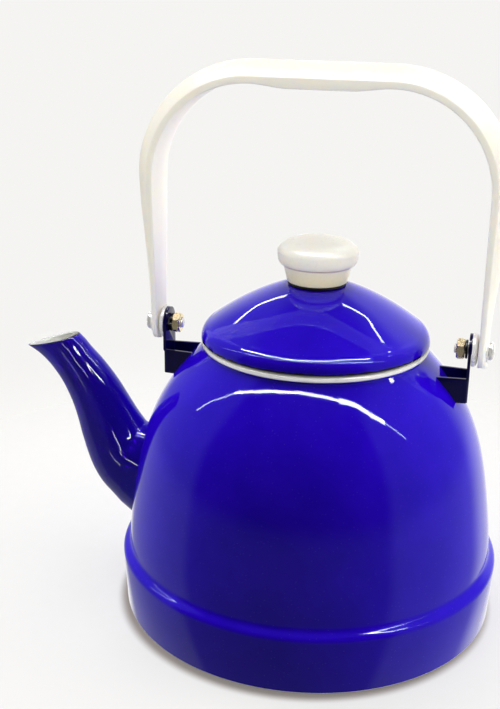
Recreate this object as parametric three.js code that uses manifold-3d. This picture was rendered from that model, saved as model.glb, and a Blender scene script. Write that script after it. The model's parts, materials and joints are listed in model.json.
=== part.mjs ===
// Enamelled steel kettle with a gooseneck spout, a lift-off lid and a friction-held bail handle.
// Millimetres, +Z up. The origin is on the kettle's axis, at the flat underside of its base.
// The spout points to -X, and the bail turns about the line through the two ears, along X.

import * as THREE from 'three';
import { mergeVertices } from 'three/addons/utils/BufferGeometryUtils.js';
import Module from 'manifold-3d';

const wasm = await Module();
wasm.setup();

// Fits
const seatGap = 0.3;              // between two pieces that lie against each other
const overrun = 6;                // how far each cutting solid runs past what it cuts

// Foot band, step and base
const footRadius = 100;           // outer radius at the floor
const footFlare = 1.7;            // how much wider the band is at its top
const footHeight = 29;
const footLift = 0.4;             // the band's lower edge above the base's underside
const stepHeight = 7;             // the shoulder between band and dome
const stepDepth = 4;
const bodyWall = 1.2;             // steel with enamel on both sides
const baseWall = 1.2;
const baseCorner = 2.2;           // outer bend radius of the base's turned-up edge
const baseLip = 9;                // height of the turned-up edge

// Dome and mouth
const domeHeight = 106.6;
const mouthRadius = 57.8;         // outer radius of the body where the mouth ring sits
const ringOverhang = 1.2;         // how far the mouth ring stands out past the body
const ringBead = 3.7;             // height of the ring's visible bead
const ringWall = 0.8;
const ringTongue = 6;             // the ring's sleeve inside the neck

// Holes in the body behind the spout
const strainerHole = 5.4;         // diameter
const strainerPitch = 8.2;
const strainerRows = 5;
const strainerHeight = 62;        // middle of the patch above the floor

// Spout
const spoutThrow = 65.3;          // how far the tip of the lip stands out past the dome's foot
const spoutRise = 136.5;          // height of the mouth's rear edge
const spoutHalfWidth = 17.5;      // across, where it joins the body
const spoutWall = 1.2;
const lipPinch = 0.34;            // how much narrower the mouth is towards its tip
const lipPinchPower = 3;          // the higher, the nearer to the tip the narrowing starts

// Lid
const lidRadius = 59.3;
const lidWall = 1;
const lidHeight = 29.4;           // from its lower edge to the seat of the knob
const lidSeatRadius = 16;         // flat seat under the knob
const lidShoulder = 8.5;          // radius of the rounded shoulder
const lidBow = 1.7;               // how far the crown swells past a straight cone
const lidRimDrop = 0.9;           // the edge's height below the widest line
const lidRimTuck = 0.5;           // how far the lower edge draws in
const skirtWall = 0.8;
const skirtClearance = 0.6;       // all round, inside the mouth ring's sleeve
const skirtDepth = 10;            // below the lid's lower edge
const skirtFlange = 6;            // width of the flange that is welded under the crown

// Knob and its fixing
const knobGasket = 1.1;
const knobGasketRadius = 15;
const knobNeckRadius = 15.4;      // at its foot
const knobCreaseRadius = 17.6;    // where neck and head meet
const knobNeckHeight = 8.8;
const knobHeadRadius = 20.7;
const knobHeadHeight = 14.2;
const knobHeadLow = 6.6;          // height of the widest line above the crease
const knobScrewRadius = 2;
const knobScrewLength = 16;       // under its head
const knobScrewHeadRadius = 4.2;
const knobScrewHead = 2.4;
const knobWasherRadius = 6;
const knobWasher = 0.8;
const insertRadius = 4.4;
const insertLength = 12;

// Ears
const earStandoff = 5;            // from the dome to the web's outer face, level with the ear's lower edge
const earSheet = 1.5;
const earBend = 2.2;              // outer bend radius
const earWidth = 16.5;            // at the web
const earMouthWidth = 20;         // across the flanges, at their inner ends
const earDrop = 20.4;             // the ear's lower edge below the body's mouth
const earChannel = 13;            // height of the flanges
const pivotRise = 5.8;            // the pivot above the body's mouth
const earFlangeReach = 24;        // inwards from the web, before the body trims it

// Pivot fasteners, from the inside outwards
const pivotRadius = 2.5;
const nutFlats = 9.5;
const nutHeight = 4.2;
const lockWasher = 1.4;
const lockWasherRadius = 4.8;
const domeWasher = 2.8;           // height of the domed washer
const domeWasherEdge = 1;         // its thickness at the rim
const domeWasherRadius = 8.6;
const headWasher = 0.8;
const headWasherRadius = 5.6;
const screwHead = 2.8;
const screwHeadRadius = 4.8;
const screwSlot = 1.2;            // width and depth of the slot
const screwTip = 1.2;             // thread that shows past the nut

// Bail handle
const bailHeight = 127.4;         // from the pivot to the bar's underside
const bailCorner = 48.9;          // inner radius of the two upper bends
const bailWidth = 26;             // of the strap at the top
const bailEndWidth = 18;          // of the strap at the pivots
const bailTaperLength = 90;       // length of leg over which the strap grows
const bailEdgeTop = 3.5;          // thickness of the strap's edges at the top
const bailEdgeEnd = 2.6;          // and at the pivots
const bailBulgeTop = 7.4;         // how far the outer face swells past the edges at the top
const bailBulgeEnd = 2;           // and at the pivots
const bailRound = 0.9;            // rounding of the inner face's edges
const bailRecess = 1;             // depth of the flat seat under each screw's washer
const gripSwell = 1.8;            // extra thickness under the hand
const gripHalfLength = 35;
const gripFlatHalfLength = 15;

// Facets
const roundSteps = 48;            // around the kettle's axis
const knobSteps = 28;
const smallSteps = 18;
const spoutSteps = 20;
const domeSteps = 12;
const stepSteps = 5;
const crownSteps = 5;
const shoulderSteps = 4;
const knobCurveSteps = 4;
const bendSteps = 4;
const strainerSides = 10;
const nutSides = 6;
const legSteps = 6;
const cornerSteps = 8;
const barSteps = 10;
const endSteps = 4;

const footTopRadius = footRadius + footFlare;
const domeRadius = footTopRadius - stepDepth;
const domeBase = footHeight + stepHeight;
const mouthHeight = domeBase + domeHeight;
const ringBottom = mouthHeight + seatGap;
const ringTop = ringBottom + ringBead;
const ringOuter = mouthRadius + ringOverhang;
const sleeveOuter = mouthRadius - bodyWall - seatGap - ringWall;
const sleeveInner = sleeveOuter - ringWall;
const lidEdge = ringTop + seatGap;
const lidTop = lidEdge + lidHeight;
const spoutReach = domeRadius + spoutThrow;
const earBottom = mouthHeight - earDrop;
const earFlangeTop = earBottom + earChannel;
const pivotHeight = mouthHeight + pivotRise;

// Geometry helpers

function point(r, z) {
  return new THREE.Vector2(r, z);
}

function lathe(profile, steps = roundSteps) {
  const geometry = new THREE.LatheGeometry(profile, steps);
  return geometry.rotateX(Math.PI / 2);
}

function closed(profile) {
  return [...profile, profile[0].clone()];
}

// Each point of a profile moved along the profile's normal, to the left of its direction.
function offset(profile, distance) {
  return profile.map((p, i) => {
    const before = profile[Math.max(i - 1, 0)];
    const after = profile[Math.min(i + 1, profile.length - 1)];
    const along = after.clone().sub(before).normalize();
    return point(p.x - along.y * distance, p.y + along.x * distance);
  });
}

function arc(centre, radius, from, to, steps) {
  return Array.from({ length: steps + 1 }, (_, i) => {
    const angle = from + (to - from) * i / steps;
    return point(centre.x + radius * Math.cos(angle), centre.y + radius * Math.sin(angle));
  });
}

function cylinderAlongX(radius, from, to, steps = smallSteps) {
  const geometry = new THREE.CylinderGeometry(radius, radius, Math.abs(to - from), steps);
  geometry.rotateZ(Math.PI / 2);
  return geometry.translate((from + to) / 2, 0, 0);
}

function box(low, high) {
  const size = high.clone().sub(low);
  const centre = low.clone().add(high).multiplyScalar(1 / 2);
  return new THREE.BoxGeometry(size.x, size.y, size.z).translate(centre.x, centre.y, centre.z);
}

// A profile turned about X: its first coordinate is the place along X, its second the radius.
function turnedAlongX(profile, steps = smallSteps) {
  const upright = profile.map((p) => point(p.y, p.x));
  return lathe(upright, steps).rotateY(Math.PI / 2);
}

// A closed skin through rings of equal point counts, with a flat cap at each end.
function loft(rings) {
  const count = rings[0].length;
  const positions = rings.flat().flatMap((p) => [p.x, p.y, p.z]);
  const index = [];
  for (let i = 0; i + 1 < rings.length; i += 1) {
    for (let j = 0; j < count; j += 1) {
      const a = i * count + j;
      const b = i * count + (j + 1) % count;
      index.push(a, b, b + count, a, b + count, a + count);
    }
  }
  const last = (rings.length - 1) * count;
  for (let j = 1; j + 1 < count; j += 1) {
    index.push(0, j + 1, j);
    index.push(last, last + j, last + j + 1);
  }
  const geometry = new THREE.BufferGeometry();
  geometry.setAttribute('position', new THREE.Float32BufferAttribute(positions, 3));
  geometry.setIndex(signedVolume(positions, index) < 0 ? flipped(index) : index);
  return geometry;
}

function signedVolume(positions, index) {
  const corner = (i) => new THREE.Vector3().fromArray(positions, index[i] * 3);
  let volume = 0;
  for (let i = 0; i < index.length; i += 3) {
    volume += corner(i).dot(corner(i + 1).cross(corner(i + 2)));
  }
  return volume;
}

function flipped(index) {
  const turned = [];
  for (let i = 0; i < index.length; i += 3) {
    turned.push(index[i], index[i + 2], index[i + 1]);
  }
  return turned;
}

function toSolid(geometry) {
  const bare = geometry.clone();
  bare.deleteAttribute('normal');
  bare.deleteAttribute('uv');
  const merged = mergeVertices(bare);
  const all = Array.from(merged.index.array);
  const triVerts = [];
  for (let i = 0; i < all.length; i += 3) {
    const [a, b, c] = all.slice(i, i + 3);
    if (a !== b && b !== c && c !== a) {
      triVerts.push(a, b, c);
    }
  }
  return new wasm.Manifold(new wasm.Mesh({
    numProp: 3,
    vertProperties: new Float32Array(merged.attributes.position.array),
    triVerts: new Uint32Array(triVerts),
  }));
}

function toGeometry(solid) {
  const mesh = solid.getMesh();
  const geometry = new THREE.BufferGeometry();
  geometry.setAttribute('position', new THREE.BufferAttribute(mesh.vertProperties, 3));
  geometry.setIndex(new THREE.BufferAttribute(mesh.triVerts, 1));
  return geometry;
}

function cut(geometry, ...tools) {
  const rest = tools.reduce((solid, tool) => solid.subtract(toSolid(tool)), toSolid(geometry));
  return toGeometry(rest);
}

function joined(...geometries) {
  const [first, ...others] = geometries.map(toSolid);
  return toGeometry(others.reduce((sum, solid) => sum.add(solid), first));
}

// Materials

function enamel(color) {
  return new THREE.MeshStandardMaterial({ color, roughness: 0.1, metalness: 0 });
}

function polishedSteel() {
  return new THREE.MeshStandardMaterial({ color: 0xd5d6d8, roughness: 0.12, metalness: 1 });
}

function zincPlate(color) {
  return new THREE.MeshStandardMaterial({ color, roughness: 0.3, metalness: 1 });
}

function creamPlastic() {
  return new THREE.MeshStandardMaterial({ color: 0xf6f1e2, roughness: 0.35, metalness: 0 });
}

function blackRubber() {
  return new THREE.MeshStandardMaterial({ color: 0x151515, roughness: 0.8, metalness: 0 });
}

const blueEnamel = 0x2a16b8;
const navyEnamel = 0x0d0a30;
const paleEnamel = 0xe9e7e0;
const yellowZinc = 0xd8bd6a;
const blackZinc = 0x2a2a2c;

function piece(name, geometry, material) {
  const mesh = new THREE.Mesh(geometry, material);
  mesh.name = name;
  return mesh;
}

// Body

// The dome's outline, from its foot to the mouth: shares of the way in, and of the way up.
const domeShares = [
  [0, 0], [0.012, 0.1], [0.061, 0.25], [0.198, 0.5], [0.386, 0.7], [0.577, 0.82], [0.8, 0.918], [1, 1],
];
const stepRoundShare = 0.5;       // how tightly the step's two bends turn

function domeOutline() {
  const run = domeRadius - mouthRadius;
  const places = domeShares.map(([inwards, up]) => point(domeRadius - run * inwards, domeBase + domeHeight * up));
  return new THREE.SplineCurve(places).getPoints(domeSteps);
}

function stepOutline() {
  const bend = stepHeight * stepRoundShare;
  const curve = new THREE.CubicBezierCurve(
    point(footTopRadius, footHeight),
    point(footTopRadius, footHeight + bend),
    point(domeRadius, domeBase - bend),
    point(domeRadius, domeBase),
  );
  return curve.getPoints(stepSteps);
}

// From the foot's lower edge up to the mouth.
function bodyOutline() {
  return [point(footRadius, footLift), ...stepOutline(), ...domeOutline().slice(1)];
}

function bodyRadiusAt(height) {
  const outline = bodyOutline();
  const i = outline.findIndex((p) => p.y >= height);
  const share = (height - outline[i - 1].y) / (outline[i].y - outline[i - 1].y);
  return THREE.MathUtils.lerp(outline[i - 1].x, outline[i].x, share);
}

// A solid plug of the body's outer shape, grown by a gap, for trimming what is welded on.
function bodyPlug(gap) {
  const side = offset(bodyOutline(), -gap);
  const foot = side[0];
  const top = side[side.length - 1];
  return lathe([point(0, foot.y), ...side, point(0, top.y)]);
}

// A triangle-packed patch of holes, run level through the wall behind the spout.
function strainerTools() {
  const middleRow = (strainerRows - 1) / 2;
  const rowRise = strainerPitch * Math.sqrt(3) / 2;
  const tools = [];
  for (let row = 0; row < strainerRows; row += 1) {
    const fromMiddle = row - middleRow;
    const count = row % 2 === 0 ? 2 : 3;
    for (let i = 0; i < count; i += 1) {
      const side = (i - (count - 1) / 2) * strainerPitch;
      const tool = cylinderAlongX(strainerHole / 2, -domeRadius - overrun, -mouthRadius, strainerSides);
      tools.push(tool.translate(0, side, strainerHeight + fromMiddle * rowRise));
    }
  }
  return tools;
}

function bodyShell() {
  const outer = bodyOutline();
  const inner = offset(outer, bodyWall).reverse();
  return cut(lathe(closed([...outer, ...inner])), ...strainerTools());
}

// A flat dish: the disc that the kettle stands on, with its edge turned up inside the foot band.
function basePlate() {
  const outerRadius = footRadius - bodyWall - seatGap;
  const centre = point(outerRadius - baseCorner, baseCorner);
  const outer = arc(centre, baseCorner, -Math.PI / 2, 0, bendSteps);
  const inner = arc(centre, baseCorner - baseWall, 0, -Math.PI / 2, bendSteps);
  return lathe([
    point(0, 0),
    ...outer,
    point(outerRadius, baseLip),
    point(outerRadius - baseWall, baseLip),
    ...inner,
    point(0, baseWall),
  ]);
}

// A polished bead over the raw edge of the mouth, with a sleeve inside the neck.
function mouthRing() {
  const beadRadius = ringBead / 2;
  const centre = point(ringOuter - beadRadius, ringBottom + beadRadius);
  return lathe(closed([
    point(sleeveOuter, ringBottom),
    ...arc(centre, beadRadius, -Math.PI / 2, Math.PI / 2, bendSteps),
    point(sleeveInner, ringTop),
    point(sleeveInner, ringBottom - ringTongue),
    point(sleeveOuter, ringBottom - ringTongue),
  ]));
}

// Spout

// Stations from inside the body to the mouth. Each gives the underside and the top of the section
// as shares of the reach and of the rise, and the half width as a share of the root's.
const spoutStationShares = [
  [0.54, 0.25, 0.46, 0.6, 1.04],
  [0.635, 0.262, 0.535, 0.63, 1.02],
  [0.69, 0.315, 0.568, 0.64, 0.97],
  [0.738, 0.375, 0.58, 0.643, 0.92],
  [0.775, 0.455, 0.592, 0.66, 0.86],
  [0.805, 0.565, 0.611, 0.692, 0.77],
  [0.821, 0.64, 0.633, 0.733, 0.71],
  [0.842, 0.716, 0.677, 0.816, 0.63],
  [0.875, 0.796, 0.727, 0.892, 0.56],
  [0.915, 0.86, 0.768, 0.943, 0.51],
  [0.957, 0.905, 0.79, 0.974, 0.48],
  [1, 0.934, 0.813, 1, 0.46],
];

function spoutRings(shrink) {
  return spoutStationShares.map(([underX, underZ, topX, topZ, width], i) => {
    const under = new THREE.Vector3(-spoutReach * underX, 0, spoutRise * underZ);
    const top = new THREE.Vector3(-spoutReach * topX, 0, spoutRise * topZ);
    const centre = under.clone().add(top).multiplyScalar(1 / 2);
    const up = top.clone().sub(centre);
    const half = up.length() - shrink;
    up.normalize();
    const halfWidth = spoutHalfWidth * width - shrink;
    const pinch = lipPinch * (i / (spoutStationShares.length - 1)) ** lipPinchPower;
    return Array.from({ length: spoutSteps }, (_, j) => {
      const angle = 2 * Math.PI * j / spoutSteps;
      const side = halfWidth * Math.sin(angle) * (1 + pinch * Math.cos(angle));
      return centre.clone().addScaledVector(up, half * Math.cos(angle)).add(new THREE.Vector3(0, side, 0));
    });
  });
}

// The end ring carried on past the end, along the line of the last two rings' middles.
function beyond(ring, neighbour, distance) {
  const middle = (points) => points.reduce((sum, p) => sum.add(p), new THREE.Vector3()).divideScalar(points.length);
  const step = middle(ring).sub(middle(neighbour)).setLength(distance);
  return ring.map((p) => p.clone().add(step));
}

function spout() {
  const outer = spoutRings(0);
  const bore = spoutRings(spoutWall);
  const last = bore.length - 1;
  const through = [
    beyond(bore[0], bore[1], overrun),
    ...bore,
    beyond(bore[last], bore[last - 1], overrun),
  ];
  return cut(loft(outer), loft(through), bodyPlug(seatGap));
}

// Lid

// The lid's outer outline, from the knob's seat out to the lower edge.
function lidOutline() {
  const centre = point(lidRadius - lidShoulder, lidEdge + lidRimDrop);
  const seat = point(lidSeatRadius, lidTop);
  const line = seat.clone().sub(centre);
  const meetAngle = Math.atan2(line.y, line.x) - Math.acos(lidShoulder / line.length());
  const shoulder = arc(centre, lidShoulder, meetAngle, 0, shoulderSteps);
  const out = point(Math.cos(meetAngle), Math.sin(meetAngle));
  const crown = Array.from({ length: crownSteps }, (_, i) => {
    const share = i / crownSteps;
    const bow = lidBow * 4 * share * (1 - share);
    return seat.clone().lerp(shoulder[0], share).addScaledVector(out, bow);
  });
  return [...crown, ...shoulder, point(lidRadius - lidRimTuck, lidEdge)];
}

function lidShell() {
  const hole = knobScrewRadius + seatGap;
  const outer = [point(hole, lidTop), ...lidOutline()];
  const inner = offset(outer, -lidWall);
  inner[0].x = hole;
  inner[inner.length - 1].y = lidEdge;
  return lathe(closed([...inner, ...outer.reverse()]));
}

// A sleeve that hangs inside the mouth, with its upper edge flanged along the lid's underside.
function lidSkirt() {
  const outerRadius = sleeveInner - skirtClearance;
  const under = offset(lidOutline(), -lidWall - seatGap);
  const lower = offset(lidOutline(), -lidWall - seatGap - skirtWall);
  const band = (line, from, to) => [
    pointAt(line, from),
    ...line.filter((p) => p.x > from && p.x < to),
    pointAt(line, to),
  ];
  const flangeInner = outerRadius - skirtFlange;
  return lathe(closed([
    point(outerRadius - skirtWall, lidEdge - skirtDepth),
    point(outerRadius, lidEdge - skirtDepth),
    ...band(under, flangeInner, outerRadius).reverse(),
    ...band(lower, flangeInner, outerRadius - skirtWall),
  ]));
}

// The point of an outline at a radius, on its way outwards.
function pointAt(line, radius) {
  const i = line.findIndex((p) => p.x >= radius);
  const share = (radius - line[i - 1].x) / (line[i].x - line[i - 1].x);
  return line[i - 1].clone().lerp(line[i], share);
}

// Knob

const knobFoot = lidTop + seatGap + knobGasket + seatGap;
const insertFoot = knobFoot + seatGap;
const knobTopRoundShare = 0.72;   // how full the top's rounding is

function knob() {
  const crease = knobFoot + knobNeckHeight;
  const middle = crease + knobHeadLow;
  const top = crease + knobHeadHeight;
  const boreRadius = insertRadius + seatGap;
  const boreTop = insertFoot + insertLength + seatGap;
  const lowerHead = new THREE.QuadraticBezierCurve(
    point(knobCreaseRadius, crease),
    point(knobHeadRadius, crease),
    point(knobHeadRadius, middle),
  ).getPoints(knobCurveSteps);
  const upperHead = new THREE.CubicBezierCurve(
    point(knobHeadRadius, middle),
    point(knobHeadRadius, top - knobHeadLow * knobTopRoundShare),
    point(knobHeadRadius * knobTopRoundShare, top),
    point(0, top),
  ).getPoints(2 * knobCurveSteps);
  return lathe([
    point(0, boreTop),
    point(boreRadius, boreTop),
    point(boreRadius, knobFoot),
    point(knobNeckRadius, knobFoot),
    ...lowerHead,
    ...upperHead.slice(1),
  ], knobSteps);
}

function ring(inner, outer, low, high, steps) {
  return lathe(closed([point(inner, low), point(outer, low), point(outer, high), point(inner, high)]), steps);
}

function knobInsert() {
  return ring(knobScrewRadius + seatGap, insertRadius, insertFoot, insertFoot + insertLength, smallSteps);
}

function gasket() {
  const low = lidTop + seatGap;
  return ring(knobScrewRadius + seatGap, knobGasketRadius, low, low + knobGasket, knobSteps);
}

const lidUnderside = lidTop - lidWall;
const knobWasherLow = lidUnderside - seatGap - knobWasher;
const knobScrewSeat = knobWasherLow - seatGap;

function screwWasher() {
  return ring(knobScrewRadius + seatGap, knobWasherRadius, knobWasherLow, knobWasherLow + knobWasher, smallSteps);
}

function knobScrew() {
  const headFoot = knobScrewSeat - knobScrewHead;
  const blank = lathe([
    point(0, headFoot),
    point(knobScrewHeadRadius - knobScrewHead / 2, headFoot),
    point(knobScrewHeadRadius, knobScrewSeat - knobScrewHead / 2),
    point(knobScrewHeadRadius, knobScrewSeat),
    point(knobScrewRadius, knobScrewSeat),
    point(knobScrewRadius, knobScrewSeat + knobScrewLength),
    point(0, knobScrewSeat + knobScrewLength),
  ], smallSteps);
  const slot = box(
    new THREE.Vector3(-screwSlot / 2, -knobScrewHeadRadius - overrun, headFoot - overrun),
    new THREE.Vector3(screwSlot / 2, knobScrewHeadRadius + overrun, headFoot + screwSlot),
  );
  return cut(blank, slot);
}

// Ears and pivots: each is built for the +X ear, about the pivot's axis, and turned for the other.

const webOuter = bodyRadiusAt(earBottom) + earStandoff;
const webInner = webOuter - earSheet;
const nutOuter = webInner - seatGap - lockWasher - seatGap;
const nutInner = nutOuter - nutHeight;
const domeFoot = webOuter + seatGap;
const legInner = domeFoot + domeWasher + seatGap;
const legOuter = legInner + bailEdgeEnd + bailBulgeEnd;
const recessFloor = legOuter - bailRecess;
const headWasherFoot = recessFloor + seatGap;
const screwSeat = headWasherFoot + headWasher + seatGap;

// The channel's outline seen from above: the web, two bends, and flanges that open towards the body.
function channelShape() {
  const webHalf = earWidth / 2;
  const mouthHalf = earMouthWidth / 2;
  const tip = webOuter - earFlangeReach;
  const innerBend = earBend - earSheet;
  const shape = new THREE.Shape();
  shape.moveTo(tip, -mouthHalf);
  shape.lineTo(webOuter - earBend, -webHalf);
  shape.quadraticCurveTo(webOuter, -webHalf, webOuter, -webHalf + earBend);
  shape.lineTo(webOuter, webHalf - earBend);
  shape.quadraticCurveTo(webOuter, webHalf, webOuter - earBend, webHalf);
  shape.lineTo(tip, mouthHalf);
  shape.lineTo(tip, mouthHalf - earSheet);
  shape.lineTo(webInner - innerBend, webHalf - earSheet);
  shape.quadraticCurveTo(webInner, webHalf - earSheet, webInner, webHalf - earSheet - innerBend);
  shape.lineTo(webInner, -webHalf + earSheet + innerBend);
  shape.quadraticCurveTo(webInner, -webHalf + earSheet, webInner - innerBend, -webHalf + earSheet);
  shape.lineTo(tip, -mouthHalf + earSheet);
  shape.closePath();
  return shape;
}

function ear() {
  const channel = new THREE.ExtrudeGeometry(channelShape(), {
    depth: earFlangeTop - earBottom,
    bevelEnabled: false,
    curveSegments: bendSteps,
  }).translate(0, 0, earBottom);
  const half = earWidth / 2;
  const tabFoot = (earBottom + earFlangeTop) / 2;
  const tab = new THREE.Shape();
  tab.moveTo(-half + earBend, tabFoot);
  tab.lineTo(half - earBend, tabFoot);
  tab.lineTo(half - earBend, earFlangeTop - earBend);
  tab.lineTo(half, earFlangeTop);
  tab.lineTo(half, pivotHeight);
  tab.absarc(0, pivotHeight, half, 0, Math.PI, false);
  tab.lineTo(-half, earFlangeTop);
  tab.lineTo(-half + earBend, earFlangeTop - earBend);
  tab.closePath();
  const plate = new THREE.ExtrudeGeometry(tab, {
    depth: earSheet,
    bevelEnabled: false,
    curveSegments: smallSteps / 2,
  });
  plate.rotateX(Math.PI / 2).rotateZ(Math.PI / 2).translate(webInner, 0, 0);
  const hole = cylinderAlongX(pivotRadius + seatGap, webInner - overrun, webOuter + overrun);
  return cut(joined(channel, plate), bodyPlug(seatGap), hole.translate(0, 0, pivotHeight));
}

function nut() {
  const cornerRadius = nutFlats / Math.sqrt(3);
  const blank = cylinderAlongX(cornerRadius, nutInner, nutOuter, nutSides);
  const bore = cylinderAlongX(pivotRadius + seatGap, nutInner - overrun, nutOuter + overrun);
  return cut(blank, bore);
}

function washerAlongX(radius, from, to) {
  const bore = pivotRadius + seatGap;
  return turnedAlongX(closed([
    point(from, bore),
    point(from, radius),
    point(to, radius),
    point(to, bore),
  ]));
}

function screwWasherAlongX() {
  return washerAlongX(headWasherRadius, headWasherFoot, headWasherFoot + headWasher);
}

function lockWasherAlongX() {
  return washerAlongX(lockWasherRadius, nutOuter + seatGap, webInner - seatGap);
}

function domedWasher() {
  const bore = pivotRadius + seatGap;
  const rise = new THREE.QuadraticBezierCurve(
    point(domeFoot + domeWasher, bore),
    point(domeFoot + domeWasher, domeWasherRadius),
    point(domeFoot + domeWasherEdge, domeWasherRadius),
  ).getPoints(bendSteps);
  return turnedAlongX(closed([point(domeFoot, bore), point(domeFoot, domeWasherRadius), ...rise.reverse()]));
}

function pivotScrew() {
  const tip = nutInner - screwTip;
  const headTop = screwSeat + screwHead;
  const blank = turnedAlongX([
    point(tip, 0),
    point(tip, pivotRadius),
    point(screwSeat, pivotRadius),
    point(screwSeat, screwHeadRadius),
    point(screwSeat + screwHead / 2, screwHeadRadius),
    point(headTop, screwHeadRadius - screwHead / 2),
    point(headTop, 0),
  ]);
  const slot = box(
    new THREE.Vector3(headTop - screwSlot, -screwHeadRadius - overrun, -screwSlot / 2),
    new THREE.Vector3(headTop + overrun, screwHeadRadius + overrun, screwSlot / 2),
  );
  return cut(blank, slot);
}

// The pieces of one pivot, all about the pivot's axis.
function pivotPieces(place) {
  return [
    piece(`${place}_pivot_screw`, pivotScrew(), polishedSteel()),
    piece(`${place}_screw_washer`, screwWasherAlongX(), polishedSteel()),
    piece(`${place}_domed_washer`, domedWasher(), polishedSteel()),
    piece(`${place}_lock_washer`, lockWasherAlongX(), zincPlate(blackZinc)),
    piece(`${place}_nut`, nut(), zincPlate(yellowZinc)),
  ];
}

function earAssembly(place, turn) {
  const pivot = new THREE.Group();
  pivot.position.z = pivotHeight;
  pivot.add(...pivotPieces(place));
  const assembly = new THREE.Group();
  assembly.rotation.z = turn;
  assembly.add(piece(`${place}_ear`, ear(), enamel(navyEnamel)), pivot);
  return assembly;
}

// Bail handle, in its own upright plane with the pivot's axis at zero height

const endCapAngle = 0.2;          // radians left off each rounded end, which makes its small flat

// The middle of the strap's inner face, from one end up to the middle of the bar.
// Each station has its place and the direction outwards from the arch.
function bailStations() {
  const endRadius = bailEndWidth / 2;
  const legLength = bailHeight - bailCorner;
  const cornerCentre = point(legInner - bailCorner, legLength);
  const side = [];
  for (let i = 0; i <= endSteps; i += 1) {
    const angle = endCapAngle + (Math.PI / 2 - endCapAngle) * i / endSteps;
    side.push({ place: point(legInner, -endRadius * Math.cos(angle)), out: point(1, 0) });
  }
  for (let i = 1; i < legSteps; i += 1) {
    side.push({ place: point(legInner, legLength * i / legSteps), out: point(1, 0) });
  }
  for (let i = 0; i <= cornerSteps; i += 1) {
    const angle = Math.PI / 2 * i / cornerSteps;
    const out = point(Math.cos(angle), Math.sin(angle));
    side.push({ place: cornerCentre.clone().addScaledVector(out, bailCorner), out });
  }
  for (let i = 1; i <= barSteps; i += 1) {
    side.push({ place: point(cornerCentre.x * (1 - i / barSteps), bailHeight), out: point(0, 1) });
  }
  return side;
}

// A flat inner face, two straight edges and a bulged outer face: each corner's place across the strap
// and its height over the inner face.
function strapSection(width, edge, bulge) {
  const half = width / 2;
  const round = Math.min(bailRound, half / 2);
  const outer = bulgeShares.map((across) => [across * half, edge + bulge * (1 - across ** 2)]);
  return [[round - half, 0], [half - round, 0], [half, round], ...outer, [-half, round]];
}

const bulgeShares = [1, 0.75, 0.4, 0, -0.4, -0.75, -1];

function strapRing(station, mirror) {
  const { place, out } = station;
  const grown = THREE.MathUtils.smoothstep(place.y, 0, bailTaperLength);
  const endChord = 2 * Math.sqrt((bailEndWidth / 2) ** 2 - Math.min(place.y, 0) ** 2);
  const width = endChord + (bailWidth - bailEndWidth) * grown;
  const edge = bailEdgeEnd + (bailEdgeTop - bailEdgeEnd) * grown;
  const bulge = bailBulgeEnd + (bailBulgeTop - bailBulgeEnd) * grown;
  const pastGrip = THREE.MathUtils.smoothstep(Math.abs(place.x), gripFlatHalfLength, gripHalfLength);
  const swell = gripSwell * (1 - pastGrip);
  return strapSection(width, edge + swell, bulge).map(([across, height]) => {
    const corner = place.clone().addScaledVector(out, height - swell);
    return new THREE.Vector3(corner.x * mirror, across, corner.y);
  });
}

function bailHandle() {
  const side = bailStations();
  const right = side.map((station) => strapRing(station, 1));
  const left = side.slice(0, -1).map((station) => strapRing(station, -1)).reverse();
  const tools = [1, -1].flatMap((way) => [
    cylinderAlongX(pivotRadius + seatGap, way * (legInner - overrun), way * (legOuter + overrun)),
    cylinderAlongX(headWasherRadius + seatGap, way * recessFloor, way * (legOuter + overrun)),
  ]);
  return cut(loft([...right, ...left]), ...tools);
}

function bail() {
  const group = new THREE.Group();
  group.position.z = pivotHeight;
  group.add(piece('bail_handle', bailHandle(), creamPlastic()));
  return group;
}

function lid() {
  const group = new THREE.Group();
  group.add(
    piece('lid_shell', lidShell(), enamel(blueEnamel)),
    piece('lid_skirt', lidSkirt(), enamel(paleEnamel)),
    piece('knob_gasket', gasket(), blackRubber()),
    piece('knob', knob(), creamPlastic()),
    piece('knob_insert', knobInsert(), zincPlate(yellowZinc)),
    piece('knob_screw', knobScrew(), polishedSteel()),
    piece('knob_screw_washer', screwWasher(), polishedSteel()),
  );
  return group;
}

const kettle = new THREE.Group();
kettle.add(
  piece('body_shell', bodyShell(), enamel(blueEnamel)),
  piece('base_plate', basePlate(), enamel(blueEnamel)),
  piece('mouth_ring', mouthRing(), polishedSteel()),
  piece('spout', spout(), enamel(blueEnamel)),
  earAssembly('front', Math.PI),
  earAssembly('rear', 0),
  bail(),
  lid(),
);

export default kettle;
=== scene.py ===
"""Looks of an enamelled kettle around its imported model.

Metres, +Z up. The origin is on the kettle's axis, at the flat underside of its base.
The spout points to -X, and the bail turns about the line through the two ears, along X.
"""

import json
import math

import bmesh
import bpy
import numpy as np
from mathutils import Matrix, Vector

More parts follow.
